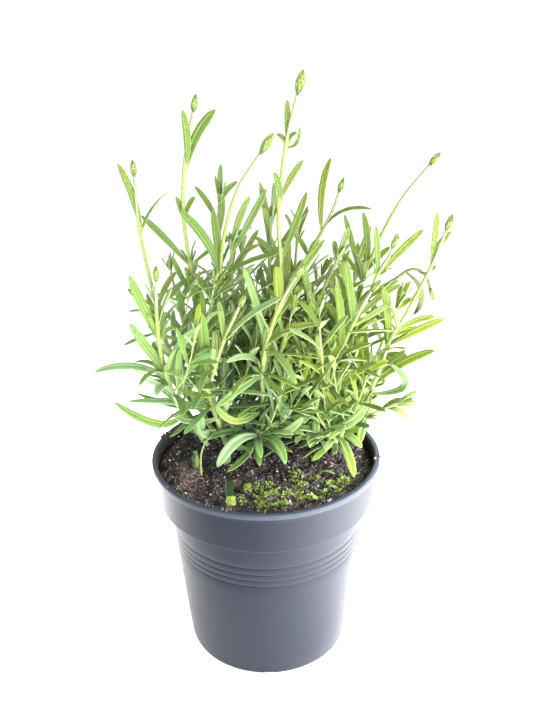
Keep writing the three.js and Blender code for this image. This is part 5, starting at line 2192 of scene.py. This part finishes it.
@dataclass
class Liverwort:
    """Low glossy lobes in patches on the front of the soil."""

    patches: tuple[Patch, ...] = (
        Patch((-6, -31), (5, 4), 26), Patch((-3, -38), (4, 4), 20), Patch((-2, -47), (4, 3), 22),
        Patch((16, -20), (3, 4), 16), Patch((18, -29), (3, 4), 18), Patch((18, -40), (4, 3), 22),
        Patch((37, -29), (3.5, 3), 16), Patch((42, -24), (4, 3), 24), Patch((4, -35), (2, 2), 8),
        Patch((10, -38), (3, 2), 9), Patch((27, -23), (3, 2), 8), Patch((2, -27), (2, 2), 5),
        Patch((9, -47), (6, 2), 12), Patch((22, -36), (16, 7), 30), Patch((-2, -42), (6, 6), 12),
        Patch((28, -38), (4, 3), 6), Patch((-13, -44), (3, 3), 9),
    )
    lobes_per_count: int = 3
    scatter: float = 0.6
    edge_radius: float = 56.5
    thickness: float = 0.28
    seed: int = 77

    def __post_init__(self) -> None:
        """Starts with nothing grown."""
        self.rng = np.random.default_rng(self.seed)
        self.draft = MeshDraft()

    def add_lobe(self, x: float, y: float) -> None:
        """Adds one lobe: a small ruffled scoop that rises from its narrow foot.

        Args:
            x: Its place across.
            y: Its place in depth.
        """
        rng = self.rng
        size = 0.5 + 1.7 * rng.uniform() ** 2
        turn, lift = rng.uniform(0, 2 * np.pi), rng.uniform(0.1, 0.8)
        out, across = outward(ACROSS, BACK, turn), outward(BACK, -ACROSS, turn)
        a = np.linspace(0, 1, 5)[:, None]
        b = np.linspace(-1, 1, 5)[None]
        half = size * (0.16 + 0.5 * np.sin(np.pi * a ** 1.3 * 0.86))
        ruffle = 0.14 * size * np.sin(b * 5 + a * 4 + rng.uniform(0, 6)) * np.abs(b) * a
        rise = size * (lift * a ** 1.4 + 0.32 * b ** 2 * a) + ruffle
        ground = float(Soil.surface(np.array([x]), np.array([y]))[0])
        top = (np.array([x, y, ground + 0.1]) + out * (size * 1.25 * a + 0 * b)[..., None]
               + across * (half * b)[..., None] + UP * rise[..., None])
        self.draft.add_sleeve(two_faced(top, top - UP * self.thickness)[:, ::-1],
                              across=two_faced(b, b)[:, ::-1], tone=rng.uniform(0, 1))

    def add_slab(self, start: Sequence[float], stop: Sequence[float], width: float,
                 tone: float) -> None:
        """Adds a thick square-ended piece of an old stem.

        Args:
            start: Its lower end.
            stop: Its upper end.
            width: Its width.
            tone: Its shade.
        """
        a = np.linspace(0, 1, 10)[:, None]
        angles = round_angles(14)
        first, last = np.array(start, float), np.array(stop, float)
        way = unit(last - first)
        across = square_to(np.array([1.0, 0.1, 0.0]), way)
        over = np.cross(across, way)
        girth = width / 2 * (1 + 0.16 * np.sin(a * 9 + 3 * angles) - 0.2 * a ** 3)
        rings = (first + (last - first) * a[..., None]
                 + girth[..., None] * outward(across, -0.4 * over, angles))
        self.draft.add_sleeve(rings, across=np.abs(np.cos(angles)) ** 3, tone=tone)

    def build(self) -> None:
        """Makes all the patches and three pieces of old stems."""
        for patch in self.patches:
            for _ in range(patch.lobes * self.lobes_per_count):
                x, y = (middle + self.rng.normal(0, reach * self.scatter)
                        for middle, reach in zip(patch.middle, patch.reach))
                if math.hypot(x, y) < self.edge_radius:
                    self.add_lobe(x, y)
        self.add_slab((-19.5, -40, 114), (-20.5, -27, 116.5), 5.0, -0.2)
        self.add_slab((-18.6, -47, 114.6), (-19.3, -40.5, 115.8), 5.2, 0.8)
        self.add_slab((-40.5, -8, 112), (-40, -4, 123.5), 2.8, 0.1)
        settle_piece(self.draft.to_object("liverwort", [LobeFinish().make()]), Slot.FOLIAGE)


@dataclass(frozen=True)
class Scrap:
    """A broken leaf: its ends on the soil, the rise of its tip, and its look."""

    start: Pair
    stop: Pair
    rise: float
    width: float
    tone: float
    age: float
    arch: float


@dataclass
class LeafScraps:
    """Broken leaves and a thin runner that stand or lie on the soil."""

    scraps: tuple[Scrap, ...] = (
        Scrap((-23, -4), (-22.6, -3), 8.0, 5.0, 0.9, 1.0, 0.0),
        Scrap((-39.4, -7), (-39, -8), 9.0, 2.2, 0.8, 0.2, 0.0),
        Scrap((-12, -27), (-9, -34), 2.4, 3.0, 0.0, 0.1, 0.2),
        Scrap((29, -12), (38, -19), 1.6, 3.0, 0.3, 0.6, 0.1),
    )
    steepest: float = 0.7
    seed: int = 31

    def build(self, materials: Sequence[Material]) -> None:
        """Makes all the scraps.

        Args:
            materials: Those of leaves and of stems.
        """
        rng = np.random.default_rng(self.seed)
        draft = MeshDraft()
        for scrap in self.scraps:
            low, high = Soil.surface(*np.array([scrap.start, scrap.stop], float).T)
            start = np.array([*scrap.start, low - 0.4])
            chord = np.array([*scrap.stop, high + scrap.rise]) - start
            length = float(np.linalg.norm(chord))
            upper = np.array([0.2, -1.0, 0.3]) if abs(chord[2]) / length > self.steepest else UP
            leaf = Leaf.towards(start, chord / length, length, scrap.arch, upper, scrap.width)
            add_leaf(draft, leaf, LeafDetail.FULL, BladeForm.natural(rng, scrap.age),
                     scrap.tone, scrap.age)
        s = np.linspace(0, 1, 18)
        arc = np.stack([-36 + 6 * s - 3 * np.sin(np.pi * s), -17 + 20 * s,
                        113.5 + 16 * np.sin(np.pi * s * 0.5)], -1)
        draft.add_sleeve(tube_rings(arc, 0.55 - 0.2 * s, 8), 1, along=0.4, tone=0.3)
        settle_piece(draft.to_object("leaf_scraps", materials), Slot.FOLIAGE)


# ---- the plant


@dataclass
class Plant:
    """Every shoot with its head, grown so that later leaves find the free places."""

    def build(self) -> None:
        """Grows the plant and makes its pieces."""
        leaf, stem = LeafFinish().make(), StemFinish().make()
        bud, dry = BudFinish().make(), WitheredFinish().make()
        shoots = [LeafyShoot(i, plan) for i, plan in enumerate(SHOOTS)]
        log.info("%d leaves stand where their solids do", sum(len(s.leaves) for s in shoots))
        air = Air()
        for shoot in shoots:
            shoot.fill_air(air)
        for shoot in shoots:
            shoot.grow_tufts()
            shoot.grow_filling(air)
        heads = 0
        for shoot in shoots:
            shoot.build([dry, dry] if shoot.plan.withered else [leaf, stem])
            if shoot.plan.head:
                heads += 1
                FlowerHead(shoot, heads).build(bud)
        Twig().build(dry)
        Liverwort().build()
        LeafScraps().build([leaf, stem])


# ---- studio


@dataclass
class Studio:
    """The camera, the pale floor and the soft lights."""

    eye: Triple = (0.0, -0.4013, 0.3491)
    right: Triple = (0.9997, -0.0195, -0.0115)
    ahead: Triple = (0.0135, 0.9202, -0.3912)
    lens: float = 40.33
    sensor: float = 36.0
    floor_width: float = 24.0
    floor_steps: int = 24
    floor_depth: float = 0.05
    sky: float = 1.02

    def add_camera(self) -> None:
        """Adds the camera."""
        data = bpy.data.cameras.new("camera")
        data.lens, data.sensor_width = self.lens, self.sensor
        data.clip_start, data.clip_end = 0.01, 60
        back = -Vector(self.ahead).normalized()
        side = (Vector(self.right) - Vector(self.right).dot(back) * back).normalized()
        over = back.cross(side)
        turn = Matrix((side, over, back)).transposed().to_4x4()
        made = bpy.data.objects.new("camera", data)
        made.matrix_world = Matrix.Translation(Vector(self.eye)) @ turn
        bpy.context.scene.collection.objects.link(made)
        bpy.context.scene.camera = made

    def add_floor(self) -> None:
        """Adds the floor."""
        line = np.linspace(-0.5, 0.5, self.floor_steps) * self.floor_width / MM
        x, y = np.meshgrid(line, line, indexing="ij")
        points = np.stack([x.ravel(), y.ravel(), np.full(x.size, -self.floor_depth)], -1)
        n = self.floor_steps
        i, j = np.meshgrid(np.arange(n - 1), np.arange(n - 1), indexing="ij")
        a = (i * n + j).ravel()
        faces = np.concatenate([
            np.stack([a, a + n, a + n + 1], -1), np.stack([a, a + n + 1, a + 1], -1)])
        draft = MeshDraft()
        draft.add(points, faces)
        draft.to_object("floor", [PaperFinish().make()])

    def add_light(self, name: str, place: Triple, width: float,
                  power: float, aim: Triple = (0, 0, 0.16)) -> None:
        """Adds a soft lamp.

        Args:
            name: Its name.
            place: Where it hangs, in metres.
            width: Width of its square face, in metres.
            power: Its power, in watts.
            aim: The place that it faces, in metres.
        """
        data = bpy.data.lights.new(name, "AREA")
        data.size, data.energy = width, power
        made = bpy.data.objects.new(name, data)
        made.location = place
        way = Vector(aim) - Vector(place)
        made.rotation_euler = way.to_track_quat("-Z", "Y").to_euler()
        bpy.context.scene.collection.objects.link(made)

    def add_sky(self) -> None:
        """Surrounds the plant with plain white."""
        world = bpy.data.worlds.new("studio_white")
        world.use_nodes = True
        background = world.node_tree.nodes["Background"].inputs
        background["Color"].default_value = (1, 1, 1, 1)
        background["Strength"].default_value = self.sky
        bpy.context.scene.world = world

    def build(self) -> None:
        """Sets up the studio."""
        self.add_camera()
        self.add_floor()
        self.add_sky()
        self.add_light("front", (0.3, -1.15, 0.3), 0.5, 18)
        self.add_light("key_right", (0.9, -0.7, 0.3), 0.7, 11)
        self.add_light("top", (0.2, 0.1, 1.4), 0.6, 2)
        self.add_light("floor_right", (0.24, -0.13, 0.16), 0.3, 6.6, (0.24, -0.13, 0))
        self.add_light("floor_left", (-0.27, 0.14, 0.16), 0.2, 3, (-0.27, 0.14, 0))
        bpy.context.scene.view_settings.view_transform = "Standard"


def corners(box: tuple[Vector, Vector]) -> list[list[float]]:
    """A box's two corners as plain lists."""
    return [[float(value) for value in corner] for corner in box]


def main() -> None:
    """Builds the pot, the soil, the plant and the studio."""
    logging.basicConfig(level=logging.INFO, format="%(name)s: %(message)s")
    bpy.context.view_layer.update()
    Pot().build()
    Soil().build()
    Plant().build()
    Studio().build()
    bpy.context.view_layer.update()


if __name__ == "__main__":
    main()
